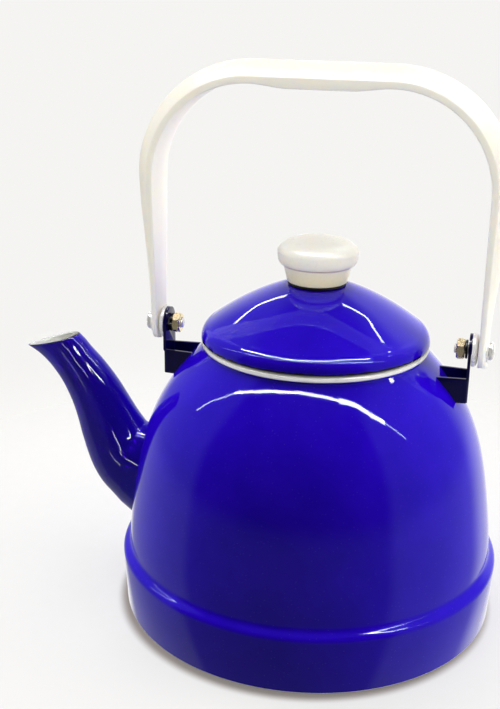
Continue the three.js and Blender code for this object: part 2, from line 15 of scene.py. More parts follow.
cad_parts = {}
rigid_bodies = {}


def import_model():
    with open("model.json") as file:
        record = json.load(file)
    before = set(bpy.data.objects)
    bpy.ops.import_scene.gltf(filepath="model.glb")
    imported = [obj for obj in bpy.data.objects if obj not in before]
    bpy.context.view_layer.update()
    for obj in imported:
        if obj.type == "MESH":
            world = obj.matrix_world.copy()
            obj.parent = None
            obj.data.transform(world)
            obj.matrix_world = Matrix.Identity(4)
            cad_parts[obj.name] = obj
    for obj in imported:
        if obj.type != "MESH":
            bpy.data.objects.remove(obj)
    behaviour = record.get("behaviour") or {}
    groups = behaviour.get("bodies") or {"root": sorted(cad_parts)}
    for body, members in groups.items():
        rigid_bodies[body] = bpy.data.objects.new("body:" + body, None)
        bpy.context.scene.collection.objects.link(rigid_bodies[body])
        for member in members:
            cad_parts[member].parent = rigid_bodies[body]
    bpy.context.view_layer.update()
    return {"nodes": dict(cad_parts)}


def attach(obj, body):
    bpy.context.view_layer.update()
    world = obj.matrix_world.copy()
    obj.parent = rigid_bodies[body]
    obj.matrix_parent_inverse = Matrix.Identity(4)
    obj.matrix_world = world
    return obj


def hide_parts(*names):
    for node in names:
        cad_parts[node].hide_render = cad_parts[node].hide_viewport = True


# Fits
SEAT_GAP = 0.0003
OVERRUN = 0.006  # how far each cutting solid runs past what it cuts
CUT_EDGE_SHARE = 1 / 3  # rounding of a sheet's cut edge, of its thickness

# Foot band, step and base
FOOT_RADIUS = 0.1  # outer radius at the floor
FOOT_FLARE = 0.0017  # how much wider the band is at its top
FOOT_HEIGHT = 0.029
FOOT_LIFT = 0.0004
FOOT_WEAR = 0.0007  # how far the bare line at the foot rises
STEP_HEIGHT = 0.007
STEP_DEPTH = 0.004
STEP_ROUND_SHARE = 0.5  # how tightly the step's two bends turn
BODY_WALL = 0.0012
BASE_WALL = 0.0012
BASE_CORNER = 0.0022
BASE_LIP = 0.009

# Dome and mouth
DOME_HEIGHT = 0.1066
MOUTH_RADIUS = 0.0578
RING_OVERHANG = 0.0012
RING_BEAD = 0.0037
RING_WALL = 0.0008
RING_TONGUE = 0.006
MOUTH_LIP = 0.0009  # how far the body's edge rises beside the ring's bead

# Holes in the body behind the spout
STRAINER_HOLE = 0.0054  # diameter
STRAINER_PITCH = 0.0082
STRAINER_ROWS = 5
STRAINER_COUNTS = (2, 3)  # holes in every other row
STRAINER_HEIGHT = 0.062

# Spout
SPOUT_THROW = 0.0653  # how far the tip of the lip stands out past the dome's foot
SPOUT_RISE = 0.1365  # height of the mouth's rear edge
SPOUT_HALF_WIDTH = 0.0175
SPOUT_WALL = 0.0012
LIP_PINCH = 0.34
LIP_PINCH_POWER = 3
SPOUT_WELD = 0.0009  # size of the fillet of enamel around the root
SPOUT_WELD_SINK = 0.0003  # how far the fillet's edge goes into the body's face
WELD_CLEAR_SHARE = 0.25  # of the fillet's size, from its end to the wall's next point

# Lid
LID_RADIUS = 0.0593
LID_WALL = 0.001
LID_HEIGHT = 0.0294
LID_SEAT_RADIUS = 0.016
LID_SHOULDER = 0.0085
LID_BOW = 0.0017
LID_RIM_DROP = 0.0009
LID_RIM_TUCK = 0.0005
LID_SHADE_START = 0.0012  # from the lid's edge up to its dark band of painted shade
LID_SHADE_REACH = 0.0008  # how far that line rises
SKIRT_WALL = 0.0008
SKIRT_CLEARANCE = 0.0006
SKIRT_DEPTH = 0.01
SKIRT_FLANGE = 0.006

# Knob and its fixing
KNOB_GASKET = 0.0011
KNOB_GASKET_RADIUS = 0.015
KNOB_NECK_RADIUS = 0.0154
KNOB_CREASE_RADIUS = 0.0176
KNOB_NECK_HEIGHT = 0.0088
KNOB_HEAD_RADIUS = 0.0207
KNOB_HEAD_HEIGHT = 0.0142
KNOB_HEAD_LOW = 0.0066
KNOB_TOP_ROUND_SHARE = 0.72
KNOB_CREASE_ROUND = 0.0009
KNOB_FOOT_ROUND = 0.0006
NECK_SHADE_SHARE = 1.8  # reach of the neck's painted shade, of the neck's height
KNOB_SCREW_RADIUS = 0.002
INSERT_RADIUS = 0.0044
INSERT_LENGTH = 0.012

# Ears
EAR_RADIUS = 0.08045  # from the kettle's axis to the outer face of each web
EAR_SHEET = 0.0015
EAR_BEND = 0.0022
EAR_WIDTH = 0.0165
EAR_MOUTH_WIDTH = 0.02
EAR_DROP = 0.0204  # the ear's lower edge below the body's mouth
EAR_CHANNEL = 0.013
EAR_FLANGE_REACH = 0.024
EAR_EDGE = 0.0003  # rounding that the enamel gives each edge
EAR_SINK = 0.0006  # how far the flanges go into the body's wall
PIVOT_RISE = 0.0058

# Pivot fasteners, from the inside outwards
PIVOT_RADIUS = 0.0025
NUT_FLATS = 0.0095
NUT_HEIGHT = 0.0042
NUT_CHAMFER = 0.0009  # how far a corner drops below the nut's face
NUT_FACE_SHARE = 0.96  # the flat face's radius, of half the width across the flats
NUT_SINK = 0.0004  # countersink of the nut's bore
LOCK_WASHER = 0.0014
LOCK_WASHER_RADIUS = 0.0048
LOCK_WASHER_GAP = 0.16  # radians that the split leaves open
LOCK_WASHER_LEAD = 0.0003  # how far the two ends stand apart along the axis
DOME_WASHER = 0.0028
DOME_WASHER_EDGE = 0.001
DOME_WASHER_RADIUS = 0.0086
HEAD_WASHER = 0.0008
HEAD_WASHER_RADIUS = 0.0056
SCREW_HEAD = 0.0028
SCREW_HEAD_RADIUS = 0.0048
SCREW_RIM_SHARE = 1 / 3  # the head's straight side, of its height
SCREW_SLOT = 0.0012
SCREW_TIP = 0.0012
THREAD_PITCH = 0.0008
THREAD_DEPTH = 0.0003
EDGE_ROUND = 0.00015  # rounding of small turned metal pieces

# Bail handle
BAIL_HEIGHT = 0.1274  # from the pivot to the bar's underside
BAIL_CORNER = 0.0489
BAIL_WIDTH = 0.026
BAIL_END_WIDTH = 0.018
BAIL_TAPER_LENGTH = 0.09
BAIL_EDGE_TOP = 0.0035
BAIL_EDGE_END = 0.0026
BAIL_BULGE_TOP = 0.0074
BAIL_BULGE_END = 0.002
BAIL_ROUND = 0.0009
BAIL_EDGE_ROUND = 0.0011  # rounding where the edges meet the bulged outer face
BAIL_ROUND_LIMIT_SHARE = 1 / 2  # the most of each rounding, of the strap's half width
BAIL_EDGE_ROUND_LIMIT_SHARE = 1 / 3
BAIL_RECESS = 0.001
GRIP_SWELL = 0.0018
GRIP_HALF_LENGTH = 0.035
GRIP_FLAT_HALF_LENGTH = 0.015
END_CAP_ANGLE = 0.04  # radians left off each rounded end

# Fineness
ROUND_STEPS = 192  # around the kettle's axis
SMALL_STEPS = 64
NUT_STEPS = 96
DOME_STEPS = 96
DOME_DEGREE = 5  # highest power in the dome's curve
MOUTH_WEIGHT = 100  # how firmly that curve is held to the mouth
CURVE_STEPS = 24
CORNER_STEPS = 5
STRAP_CORNER_STEPS = 4
WASHER_CORNER_STEPS = 2
BEVEL_STEPS = 3
EDGE_STEPS = 6
HOLE_STEPS = 28
SPOUT_FINE = 440
SPOUT_RINGS = 72
SPOUT_SIDES = 56
WELD_STEPS = 5
LEG_STEPS = 30
BAIL_CORNER_STEPS = 28
BAR_STEPS = 24
END_STEPS = 12
THREAD_STEPS = 4
FLOOR_STEPS = 128
PLUG_STRIDE = 2  # the plug that trims the ears takes every second point
SHARP_ANGLE = math.radians(38)
FLAT_ANGLE = math.radians(1)  # faces that bend less are joined before a bevel
ROUND_PROFILE = 0.5
TINY = 1e-7

# Heights and radii that follow
FOOT_TOP_RADIUS = FOOT_RADIUS + FOOT_FLARE
DOME_RADIUS = FOOT_TOP_RADIUS - STEP_DEPTH
DOME_BASE = FOOT_HEIGHT + STEP_HEIGHT
MOUTH_HEIGHT = DOME_BASE + DOME_HEIGHT
RING_BOTTOM = MOUTH_HEIGHT + SEAT_GAP
RING_TOP = RING_BOTTOM + RING_BEAD
RING_OUTER = MOUTH_RADIUS + RING_OVERHANG
SLEEVE_OUTER = MOUTH_RADIUS - BODY_WALL - SEAT_GAP - RING_WALL
SLEEVE_INNER = SLEEVE_OUTER - RING_WALL
LID_EDGE = RING_TOP + SEAT_GAP
LID_TOP = LID_EDGE + LID_HEIGHT
GASKET_FOOT = LID_TOP + SEAT_GAP
KNOB_FOOT = GASKET_FOOT + KNOB_GASKET + SEAT_GAP
KNOB_CREASE = KNOB_FOOT + KNOB_NECK_HEIGHT
INSERT_FOOT = KNOB_FOOT + SEAT_GAP
SPOUT_REACH = DOME_RADIUS + SPOUT_THROW
EAR_BOTTOM = MOUTH_HEIGHT - EAR_DROP
EAR_FLANGE_TOP = EAR_BOTTOM + EAR_CHANNEL
PIVOT_HEIGHT = MOUTH_HEIGHT + PIVOT_RISE
PIVOT_BORE = PIVOT_RADIUS + SEAT_GAP
WEB_OUTER = EAR_RADIUS
WEB_INNER = WEB_OUTER - EAR_SHEET
NUT_OUTER = WEB_INNER - SEAT_GAP - LOCK_WASHER - SEAT_GAP
NUT_INNER = NUT_OUTER - NUT_HEIGHT
DOME_FOOT = WEB_OUTER + SEAT_GAP
DOME_FACE = DOME_FOOT + DOME_WASHER
LEG_INNER = DOME_FACE + SEAT_GAP
LEG_OUTER = LEG_INNER + BAIL_EDGE_END + BAIL_BULGE_END
RECESS_FLOOR = LEG_OUTER - BAIL_RECESS
HEAD_WASHER_FOOT = RECESS_FLOOR + SEAT_GAP
HEAD_WASHER_FACE = HEAD_WASHER_FOOT + HEAD_WASHER
SCREW_SEAT = HEAD_WASHER_FACE + SEAT_GAP

# The dome's outline, from its foot to the mouth: shares of the way in, and of the way up.
DOME_SHARES = [
    [0, 0], [0.012, 0.1], [0.061, 0.25], [0.198, 0.5],
    [0.386, 0.7], [0.577, 0.82], [0.8, 0.918], [1, 1],
]

# The spout's stations, from inside the body to the mouth: the underside and the top of each section
# as shares of the reach and of the rise, and the half width as a share of the root's.
SPOUT_SHARES = [
    [0.565, 0.2, 0.46, 0.6, 1.04],
    [0.637, 0.254, 0.535, 0.63, 1.02],
    [0.69, 0.315, 0.568, 0.64, 0.97],
    [0.738, 0.375, 0.58, 0.643, 0.92],
    [0.775, 0.455, 0.592, 0.66, 0.86],
    [0.805, 0.565, 0.611, 0.692, 0.77],
    [0.821, 0.64, 0.633, 0.733, 0.71],
    [0.842, 0.716, 0.677, 0.816, 0.63],
    [0.875, 0.796, 0.727, 0.892, 0.56],
    [0.915, 0.86, 0.768, 0.943, 0.51],
    [0.957, 0.905, 0.79, 0.974, 0.48],
    [1, 0.934, 0.813, 1, 0.46],
]

# Across the strap's bulged outer face, between its edges: shares of its half width.
BULGE_SHARES = [0.9, 0.78, 0.64, 0.5, 0.35, 0.18, 0, -0.18, -0.35, -0.5, -0.64, -0.78, -0.9]

# Colours, as linear light
BLUE = (0.031, 0.002, 0.83)
BLUE_DEEP = (0.023, 0.001, 0.72)
# The body's blue enamel made darker for the spout, as painted shade
SPOUT_BLUE_SHADED = (0.021, 0.002, 0.53)
SPOUT_BLUE_DEEP_SHADED = (0.015, 0.001, 0.46)
BLUE_SPECK = (0.09, 0.07, 0.75)
NAVY = (0.008, 0.004, 0.11)
NAVY_DEEP = (0.005, 0.002, 0.07)
NAVY_SPECK = (0.05, 0.045, 0.16)
PALE = (0.89, 0.88, 0.85)
PALE_DEEP = (0.85, 0.84, 0.8)
PALE_SPECK = (0.5, 0.49, 0.46)
IRON = (0.03, 0.02, 0.015)
# Painted shade for the dark band along the lid's lower edge
LID_RIM_SHADE = (0.004, 0.001, 0.02)
STEEL = (0.97, 0.95, 0.91)
STEEL_DULL = (0.83, 0.82, 0.8)
YELLOW_ZINC = (0.93, 0.82, 0.5)
YELLOW_ZINC_DULL = (0.86, 0.7, 0.42)
BLACK_ZINC = (0.035, 0.035, 0.037)
BLACK_ZINC_DULL = (0.015, 0.015, 0.016)
CREAM = (0.92, 0.89, 0.81)
CREAM_DEEP = (0.9, 0.86, 0.76)
KNOB_CREAM = (0.92, 0.895, 0.82)
KNOB_CREAM_DEEP = (0.9, 0.87, 0.78)
# Painted shade on the knob: a warm tone over the neck, and a brown one in the crease under the head
NECK_PAINTED_SHADE = (0.97, 0.84, 0.52)
CREASE_PAINTED_SHADE = (0.6, 0.46, 0.38)
RUBBER = (0.012, 0.012, 0.012)
RUBBER_DULL = (0.03, 0.03, 0.03)
FLOOR = (0.275, 0.271, 0.267)
FLOOR_DEEP = (0.268, 0.264, 0.26)
# Warm shadow painted on the floor around the foot
FLOOR_PAINTED_SHADOW = (0.25, 0.19, 0.15)
BACKDROP = (0.913, 0.905, 0.888)
ROOM = (1.0, 0.99, 0.97)

# Textures: cells to the metre, detail and roughness of a noise, and the range of it that counts
MOTTLE = (46, 4, 0.5, 0.32, 0.68)
RAGGED = (260, 3, 0.5, 0.3, 0.7)
GLAZE_DULL = (90, 3, 0.5, 0.35, 0.7)
PATCHES = (160, 4, 0.6, 0.35, 0.68)
CLOUDS = (22, 3, 0.5, 0.35, 0.7)
SCUFFS = (520, 4, 0.65, 0.3, 0.7)
DUST = (420, 4, 0.6, 0.4, 0.75)
FLOOR_PATCHES = (9, 3, 0.5, 0.35, 0.65)
FLOOR_GRAIN = (120, 3, 0.5, 0.3, 0.7)

# Reliefs: cells to the metre, detail and roughness of a noise, and its depth
PEEL = (210, 2, 0.5, 0.000003)
WAVES = (24, 1, 0.5, 0.00003)
STREAKS = (900, 3, 0.6, 0.000008)
FLOW = (60, 2, 0.5, 0.00008)
GRAIN = (1400, 2, 0.5, 0.000012)
RUBBER_GRAIN = (1100, 3, 0.5, 0.00002)

# Other finishes: each roughness runs from the smooth to the rough places
GLAZE_ROUGHNESS = (0.02, 0.04)
RUBBER_ROUGHNESS = (0.55, 0.8)
FLOOR_ROUGHNESS = (0.5, 0.65)
FLOOR_GLOSS = 0.2
POLISH_RANGE = (0.4, 1.6)  # of streaks and patches added up
SCUFF_STRETCH = (1, 6, 1)
RAGGED_SHARES = (0.2, 1.0)  # how far a worn line rises, of its reach
SPECK_SCALE = 620  # cells of specks to the metre
SPECK_SIZE = 0.17  # radius as a share of a cell
SPECK_RARITY = 0.72  # share of the cells left without one
GLAZE = {"IOR": 1.5, "Specular IOR Level": 0.32}
PLASTIC = {
    "IOR": 1.49,
    "Subsurface Weight": 0.7,
    "Subsurface Radius": (1, 0.85, 0.6),
    "Subsurface Scale": 0.006,
}

# Dark lower edges: the height of the line, its reach above that, and its colour. The foot's line is bare
# iron worn through the enamel; the lid's is painted shade.
FOOT_WORN = (FOOT_LIFT, FOOT_WEAR, IRON)
LID_PAINTED_SHADE = (LID_EDGE + LID_SHADE_START, LID_SHADE_REACH, LID_RIM_SHADE)

# Painted shade on the knob, warm over the neck and brown in the crease: a height, the reach above and below
# it, and the colour
KNOB_PAINTED_SHADE = [
    (KNOB_FOOT, KNOB_NECK_HEIGHT * NECK_SHADE_SHARE, NECK_PAINTED_SHADE),
    (KNOB_CREASE, KNOB_CREASE_ROUND, CREASE_PAINTED_SHADE),
]

# Enamels: name, colour, deeper colour, the specks' colour and strength, and the dark lower edge. The
# spout's blue is a darker copy of the body's, as painted shade.
ENAMELS = {
    "blue": ("blue_enamel", BLUE, BLUE_DEEP, BLUE_SPECK, 0.45),
    "spout": ("blue_enamel_spout", SPOUT_BLUE_SHADED, SPOUT_BLUE_DEEP_SHADED, BLUE_SPECK, 0.45),
    "body": ("blue_enamel_body", BLUE, BLUE_DEEP, BLUE_SPECK, 0.45, FOOT_WORN),
    "lid": ("blue_enamel_lid", BLUE, BLUE_DEEP, BLUE_SPECK, 0.45, LID_PAINTED_SHADE),
    "navy": ("navy_enamel", NAVY, NAVY_DEEP, NAVY_SPECK, 0.35),
    "pale": ("pale_enamel", PALE, PALE_DEEP, PALE_SPECK, 0.6),
    "rim": ("rim_iron", IRON, NAVY_DEEP, NAVY_SPECK, 0.5),
}

# Metals: name, bright and dull colour, roughness of the smooth and the rough places, and metalness
METALS = {
    "steel": ("polished_steel", STEEL, STEEL_DULL, 0.14, 0.24, 0.6),
    "ring": ("polished_steel_ring", STEEL, STEEL_DULL, 0.16, 0.26, 0.2),
    "washer": ("satin_steel", STEEL, STEEL_DULL, 0.24, 0.36, 0.3),
    "zinc": ("yellow_zinc", YELLOW_ZINC, YELLOW_ZINC_DULL, 0.16, 0.34, 1.0),
    "black": ("black_zinc", BLACK_ZINC, BLACK_ZINC_DULL, 0.22, 0.42, 1.0),
}

# Plastics: name, colour, deeper colour, roughness of the smooth and the rough places, and the bands of
# painted shade
PLASTICS = {
    "bail": ("cream_plastic_bail", CREAM, CREAM_DEEP, 0.28, 0.42),
    "knob": ("cream_plastic_knob", KNOB_CREAM, KNOB_CREAM_DEEP, 0.24, 0.38, KNOB_PAINTED_SHADE),
}

# Camera
CAMERA_PLACE = (0.0991, -0.5347, 0.3293)
CAMERA_HEADING = -0.24533  # radians from +Y towards +X
CAMERA_PITCH = 0.34027  # radians below the horizon
CAMERA_ROLL = 0.01469
CAMERA_LENS = 55.85  # millimetres
CAMERA_SENSOR = 36  # millimetres along the image's longer side
CAMERA_CLIP = (0.01, 20)

# Floor: a disc that the camera sees, and that neither gloss nor bounced light does
FLOOR_RIM = 0.6
FLOOR_RADIUS = 0.45
FLOOR_CLEAR_RADIUS = 0.2  # up to here the floor is solid, and from here it fades into the backdrop
FLOOR_DROP = 0.0002
FLOOR_GLOW = 0.7  # share of the backdrop's brightness that the floor gives off by itself
SHADOW_GLOW = 0.16  # and the same under the foot, lower there as painted shadow
PAINTED_SHADOW_CENTRE = (-0.001, -0.003, 0)
PAINTED_SHADOW_RADII = (0.098, 0.1045)  # over which the warm shadow painted on the floor around the foot fades

# Soft lamps that gloss doesn't show: place, aim, width, height, power and spread in degrees
SOFTBOXES = {
    "softbox_top": ((-0.38, 0.55, 5), (0, 0, 0), 4.2, 4.2, 214, 180),
    "softbox_left": ((-1.9, 0.45, 0.6), (0, 0, 0.1), 1.2, 1.2, 16, 180),
    "softbox_right": ((1.9, 0.45, 0.6), (0, 0, 0.1), 1.2, 1.2, 20, 180),
}

# The same, for plastic and bare metal alone, and for the spout alone
PALE_SOFTBOXES = {
    "softbox_front": ((0.1, -1.3, 0.35), (0, 0, 0.2), 1.2, 0.8, 12.5, 180),
}
PALE_ENDINGS = ("_steel", "_zinc", "_plastic")  # of the names of those pieces
MOUTH_SOFTBOXES = {
    "softbox_mouth": ((-0.7, -0.1, 0.75), (-0.146, 0, 0.127), 0.03, 0.03, 0.006, 4),
}

FULL_SPREAD = 180  # degrees, for a lamp with no spread of its own

# The room, as levels of brightness
BACK_LEVEL = 0.95  # behind the kettle
SIDE_LEVEL = 0.33
FRONT_LEVEL = 0.04  # the open side, towards the camera
CEILING_LEVEL = 0.1
OPEN_AZIMUTH = -3  # degrees from -Y towards +X
OPEN_HALF_WIDTH = (60, 70)  # degrees over which the open side's left and right edges fade
BACK_HALF_WIDTH = (132, 152)  # and those of the bright back
BACK_HIGH = (0.58, 0.74)  # heights of a unit direction over which the back's upper edge fades
CEILING_EDGE = (0.74, 0.88)
LOW_LEVEL = 0.16  # what the floor's light adds below the horizon
LOW_EDGE = (-0.2, -0.02)

STRIP_DISTANCE = 3.0
STRIP_CENTRE = (0, -0.05, 0.13)
STRIP_STEPS = 2  # lamps between each two points of a strip

# Light strips that only gloss shows: (azimuth, elevation) in degrees of the points along each,
# its width in degrees and its brightness.
STRIPS = {
    "front_left": ([(-79, 42), (-63, 52), (-35, 62), (-10, 66), (14, 66), (47, 61)], 1.1, 40),
    "front_right": ([(47, 61), (64, 55), (73, 47), (80, 40)], 2.2, 40),
    "front_left_end": ([(-94, 21), (-90, 29), (-83, 37), (-79, 42)], 0.6, 18),
    "front_right_end": ([(80, 40), (88, 27)], 0.6, 16),
    "top": (
        [(-104, 48), (-93, 59), (-70, 66), (-41, 74), (3, 79), (60, 76), (100, 70), (102, 57)],
        2.2, 120,
    ),
    "back_left": ([(-146, 43), (-142, 34), (-139, 31), (-127, 31)], 1.6, 17),
    "back_right": ([(164, 53), (153, 46), (145, 48), (133, 48)], 1.5, 22),
    "ear_right": ([(110, 43), (114, 41)], 1.5, 30),
}

# Strips that only the spout shows, around its own middle.
SPOUT_STRIPS = {
    "spout_high": ([(21, 20), (25, 26), (31, 29)], 3, 42),
    "spout_high_end": ([(29, 27), (36, 26), (47, 27)], 2, 40),
    "spout_thin": ([(-31, -17), (-30, -14)], 0.6, 12),
    "spout_low": ([(-3, 3), (-8, 3), (-14, 1), (-20, -1)], 0.9, 30),
}
SPOUT_STRIP_CENTRE = (-0.12, -0.01, 0.12)


# Outlines: arrays of (radius, height) points

def spline(points, steps):
    """Points on a smooth curve through the given ones, evenly spread over its parameter."""
    points = np.array(points, float)
    last = len(points) - 1
    made = []
    for place in np.linspace(0, last, steps + 1):
        i = min(int(place), last - 1)
        share = place - i
        start, end = points[i], points[i + 1]
        leave = (end - points[max(i - 1, 0)]) / 2
        arrive = (points[min(i + 2, last)] - start) / 2
        curved = (2 * start - 2 * end + leave + arrive) * share ** 3
        curved += (-3 * start + 3 * end - 2 * leave - arrive) * share ** 2
        made.append(curved + leave * share + start)
    return np.array(made)


def bezier(controls, steps=CURVE_STEPS):
    """Points on the Bezier curve of three or four control points."""
    controls = np.array(controls, float)
    degree = len(controls) - 1
    share = np.linspace(0, 1, steps + 1)[:, None]
    made = 0
    for i, control in enumerate(controls):
        made = made + math.comb(degree, i) * share ** i * (1 - share) ** (degree - i) * control
    return made


def arc(centre, radius, start, end):
    angle = np.linspace(start, end, CURVE_STEPS + 1)
    return np.stack([centre[0] + radius * np.cos(angle), centre[1] + radius * np.sin(angle)], 1)


def offset(outline, distance):
    """Each point of an outline moved along its normal, to the left of its direction."""
    outline = np.array(outline, float)
    along = np.vstack([outline[1:], outline[-1:]]) - np.vstack([outline[:1], outline[:-1]])
    along /= np.linalg.norm(along, axis=1)[:, None]
    return outline + distance * np.stack([-along[:, 1], along[:, 0]], 1)


def rounded(corners, steps=CORNER_STEPS):
    """The corners, given as (x, y, rounding), with each rounded one turned into a curve."""
    places = [np.array(corner[:2], float) for corner in corners]
    made = []
    for i, corner in enumerate(corners):
        here = places[i]
        before = places[i - 1] - here
        after = places[(i + 1) % len(places)] - here
        if not corner[2]:
            made.append(here)
            continue
        before_length, after_length = np.linalg.norm(before), np.linalg.norm(after)
        cosine = np.clip(before @ after / (before_length * after_length), -1, 1)
        reach = corner[2] / math.tan(math.acos(cosine) / 2)
        reach = min(reach, before_length / 2, after_length / 2)
        start = here + before / before_length * reach
        end = here + after / after_length * reach
        made.extend(bezier([start, here, end], steps))
    return np.array(made)


def unit(vector):
    return vector / np.linalg.norm(vector)


def half_circle(start, end, forward):
    """The points between start and end on a half circle that bulges along forward."""
    centre = (start + end) / 2
    angle = np.linspace(0, math.pi, EDGE_STEPS + 1)[1:-1, None]
    return centre + (start - centre) * np.cos(angle) + forward * np.sin(angle)


def round_edge(start, end):
    """The same, bulging to the right of the way from start to end."""
    spoke = (start - end) / 2
    return half_circle(start, end, np.array([-spoke[1], spoke[0]]))


def sheet(outer, wall):
    """The closed outline of a sheet with round edges: outer face, edge, inner face, edge."""
    inner = offset(outer, wall)
    return np.vstack([outer, round_edge(outer[-1], inner[-1]), inner[::-1], round_edge(inner[0], outer[0])])


def step_outline():
    bend = STEP_HEIGHT * STEP_ROUND_SHARE
    return bezier([
        (FOOT_TOP_RADIUS, FOOT_HEIGHT),
        (FOOT_TOP_RADIUS, FOOT_HEIGHT + bend),
        (DOME_RADIUS, DOME_BASE - bend),
        (DOME_RADIUS, DOME_BASE),
    ])


def dome_outline():
    """One even curve through the dome's shares, upright at its foot, so that reflections run evenly."""
    inwards, up = np.array(DOME_SHARES).T
    powers = np.arange(2, DOME_DEGREE + 1)
    weight = np.ones(len(up))
    weight[-1] = MOUTH_WEIGHT
    amounts = np.linalg.lstsq(up[:, None] ** powers * weight[:, None], inwards * weight, rcond=None)[0]
    up = np.linspace(0, 1, DOME_STEPS + 1)
    radii = DOME_RADIUS - (DOME_RADIUS - MOUTH_RADIUS) * (up[:, None] ** powers @ amounts)
    return np.stack([radii, DOME_BASE + DOME_HEIGHT * up], 1)


# The body's outer face, from the foot's lower edge up to the mouth
BODY_LINE = np.vstack([[(FOOT_RADIUS, FOOT_LIFT)], step_outline(), dome_outline()[1:]])


def body_radius(height):
    return np.interp(height, BODY_LINE[:, 1], BODY_LINE[:, 0])


def lid_outline():
    """The lid's outer face, from its lower edge up and in to the knob's seat."""
    centre = np.array([LID_RADIUS - LID_SHOULDER, LID_EDGE + LID_RIM_DROP])
    seat = np.array([LID_SEAT_RADIUS, LID_TOP])
    line = seat - centre
    distance = np.linalg.norm(line)
    meet = math.atan2(line[1], line[0]) - math.acos(LID_SHOULDER / distance)
    shoulder = arc(centre, LID_SHOULDER, 0, meet)
    out = np.array([math.cos(meet), math.sin(meet)])
    share = np.linspace(0, 1, 2 * CURVE_STEPS + 1)[1:, None]
    crown = shoulder[-1] * (1 - share) + seat * share + out * LID_BOW * 4 * share * (1 - share)
    edge = [(LID_RADIUS - LID_RIM_TUCK, LID_EDGE)]
    return np.vstack([edge, shoulder, crown])


def between(outline, low, high):
    """The part of an outline, which runs inwards, whose radius is between low and high."""
    radii, heights = outline[::-1, 0], outline[::-1, 1]
    inside = [(r, z) for r, z in zip(radii, heights) if low < r < high]
    ends = [(r, np.interp(r, radii, heights)) for r in (low, high)]
    return np.array([ends[0], *inside, ends[1]])


# Meshes

def finish_mesh(mesh):
    """Faces outwards, and smooth apart from the sharp edges."""
    work = bmesh.new()
    work.from_mesh(mesh)
    bmesh.ops.recalc_face_normals(work, faces=work.faces)
    work.to_mesh(mesh)
    work.free()
    mesh.shade_smooth()
    mesh.set_sharp_from_angle(angle=SHARP_ANGLE)


def linked(name, data):
    """A new object in the scene."""
    made = bpy.data.objects.new(name, data)
    bpy.context.scene.collection.objects.link(made)
    return made


def new_object(name, points, faces):
    mesh = bpy.data.meshes.new(name)
    mesh.from_pydata([tuple(map(float, p)) for p in points], [], faces)
    finish_mesh(mesh)
    return linked(name, mesh)


def dress(piece, body, record_slot, *materials):
    """Gives a piece its materials and puts it on the body it rides on. record_slot is not used."""
    for material in materials:
        piece.data.materials.append(material)
    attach(piece, body)
    return piece


def revolved(outline, steps):
    """The points and faces of a closed outline turned about Z, and each face's place on the outline."""
    angle = np.linspace(0, 2 * math.pi, steps, endpoint=False)
    points, rows = [], []
    for radius, height in outline:
        first = len(points)
        if radius < TINY:
            points.append((0, 0, height))
            rows.append([first] * steps)
        else:
            points.extend((radius * math.cos(a), radius * math.sin(a), height) for a in angle)
            rows.append(list(range(first, first + steps)))
    on_axis = outline[0][0] < TINY
    pairs = len(rows) - 1 if on_axis else len(rows)
    faces, places = [], []
    for i in range(pairs):
        low, high = rows[i], rows[(i + 1) % len(rows)]
        for j in range(steps):
            k = (j + 1) % steps
            corners = [low[j], low[k], high[k], high[j]]
            faces.append(tuple(dict.fromkeys(corners)))
            places.append(i)
    return np.array(points, float), faces, places


def turned(name, outline, steps=ROUND_STEPS):
    points, faces, _ = revolved(outline, steps)
    return new_object(name, points, faces)


def paint_inside(piece, places, inside):
    """Gives the second material to the faces whose place on the outline is in the range inside."""
    for polygon, place in zip(piece.data.polygons, places):
        polygon.material_index = int(place in inside)


def skin(rings, closed=False):
    """The faces of a skin through rings of equal point counts, with a cap at each end unless it closes."""
    count, total = len(rings[0]), len(rings)
    faces = []
    for i in range(total if closed else total - 1):
        low, high = i * count, (i + 1) % total * count
        for j in range(count):
            k = (j + 1) % count
            faces.append((low + j, low + k, high + k, high + j))
    if not closed:
        faces.append(tuple(range(count)))
        faces.append(tuple(range((total - 1) * count, total * count)))
    return faces


def prism(name, outline, axis, low, high):
    """A flat outline, with its two coordinates in the plane across the axis, drawn out along it."""
    count = len(outline)
    points = []
    for level in (low, high):
        for a, b in outline:
            points.append((level, a, b) if axis == "x" else (a, b, level))
    faces = [tuple(range(count)), tuple(range(count, 2 * count))]
    faces += [(i, (i + 1) % count, count + (i + 1) % count, count + i) for i in range(count)]
    return new_object(name, points, faces)


def combined(piece, operation, *tools):
    """A piece with the tools cut out of it or joined to it."""
    for tool in tools:
        modifier = piece.modifiers.new("cut", "BOOLEAN")
        modifier.operation = operation
        modifier.solver = "EXACT"
        modifier.object = tool
    bpy.context.view_layer.update()
    evaluated = piece.evaluated_get(bpy.context.evaluated_depsgraph_get())
    piece.data = bpy.data.meshes.new_from_object(evaluated)
    piece.modifiers.clear()
    for tool in tools:
        bpy.data.objects.remove(tool)
    finish_mesh(piece.data)
    return piece


def bevelled(piece, width):
    """A piece with its sharp edges rounded."""
    work = bmesh.new()
    work.from_mesh(piece.data)
    bmesh.ops.dissolve_limit(work, angle_limit=FLAT_ANGLE, verts=work.verts, edges=work.edges)
    edges = [e for e in work.edges if len(e.link_faces) == 2 and e.calc_face_angle() > SHARP_ANGLE]
    bmesh.ops.bevel(
        work, geom=edges, offset=width, segments=BEVEL_STEPS,
        profile=ROUND_PROFILE, affect="EDGES", clamp_overlap=True,
    )
    work.to_mesh(piece.data)
    work.free()
    finish_mesh(piece.data)
    return piece


# Places for the +X ear's pieces, about the pivot's axis. The front ones are turned by half a turn.

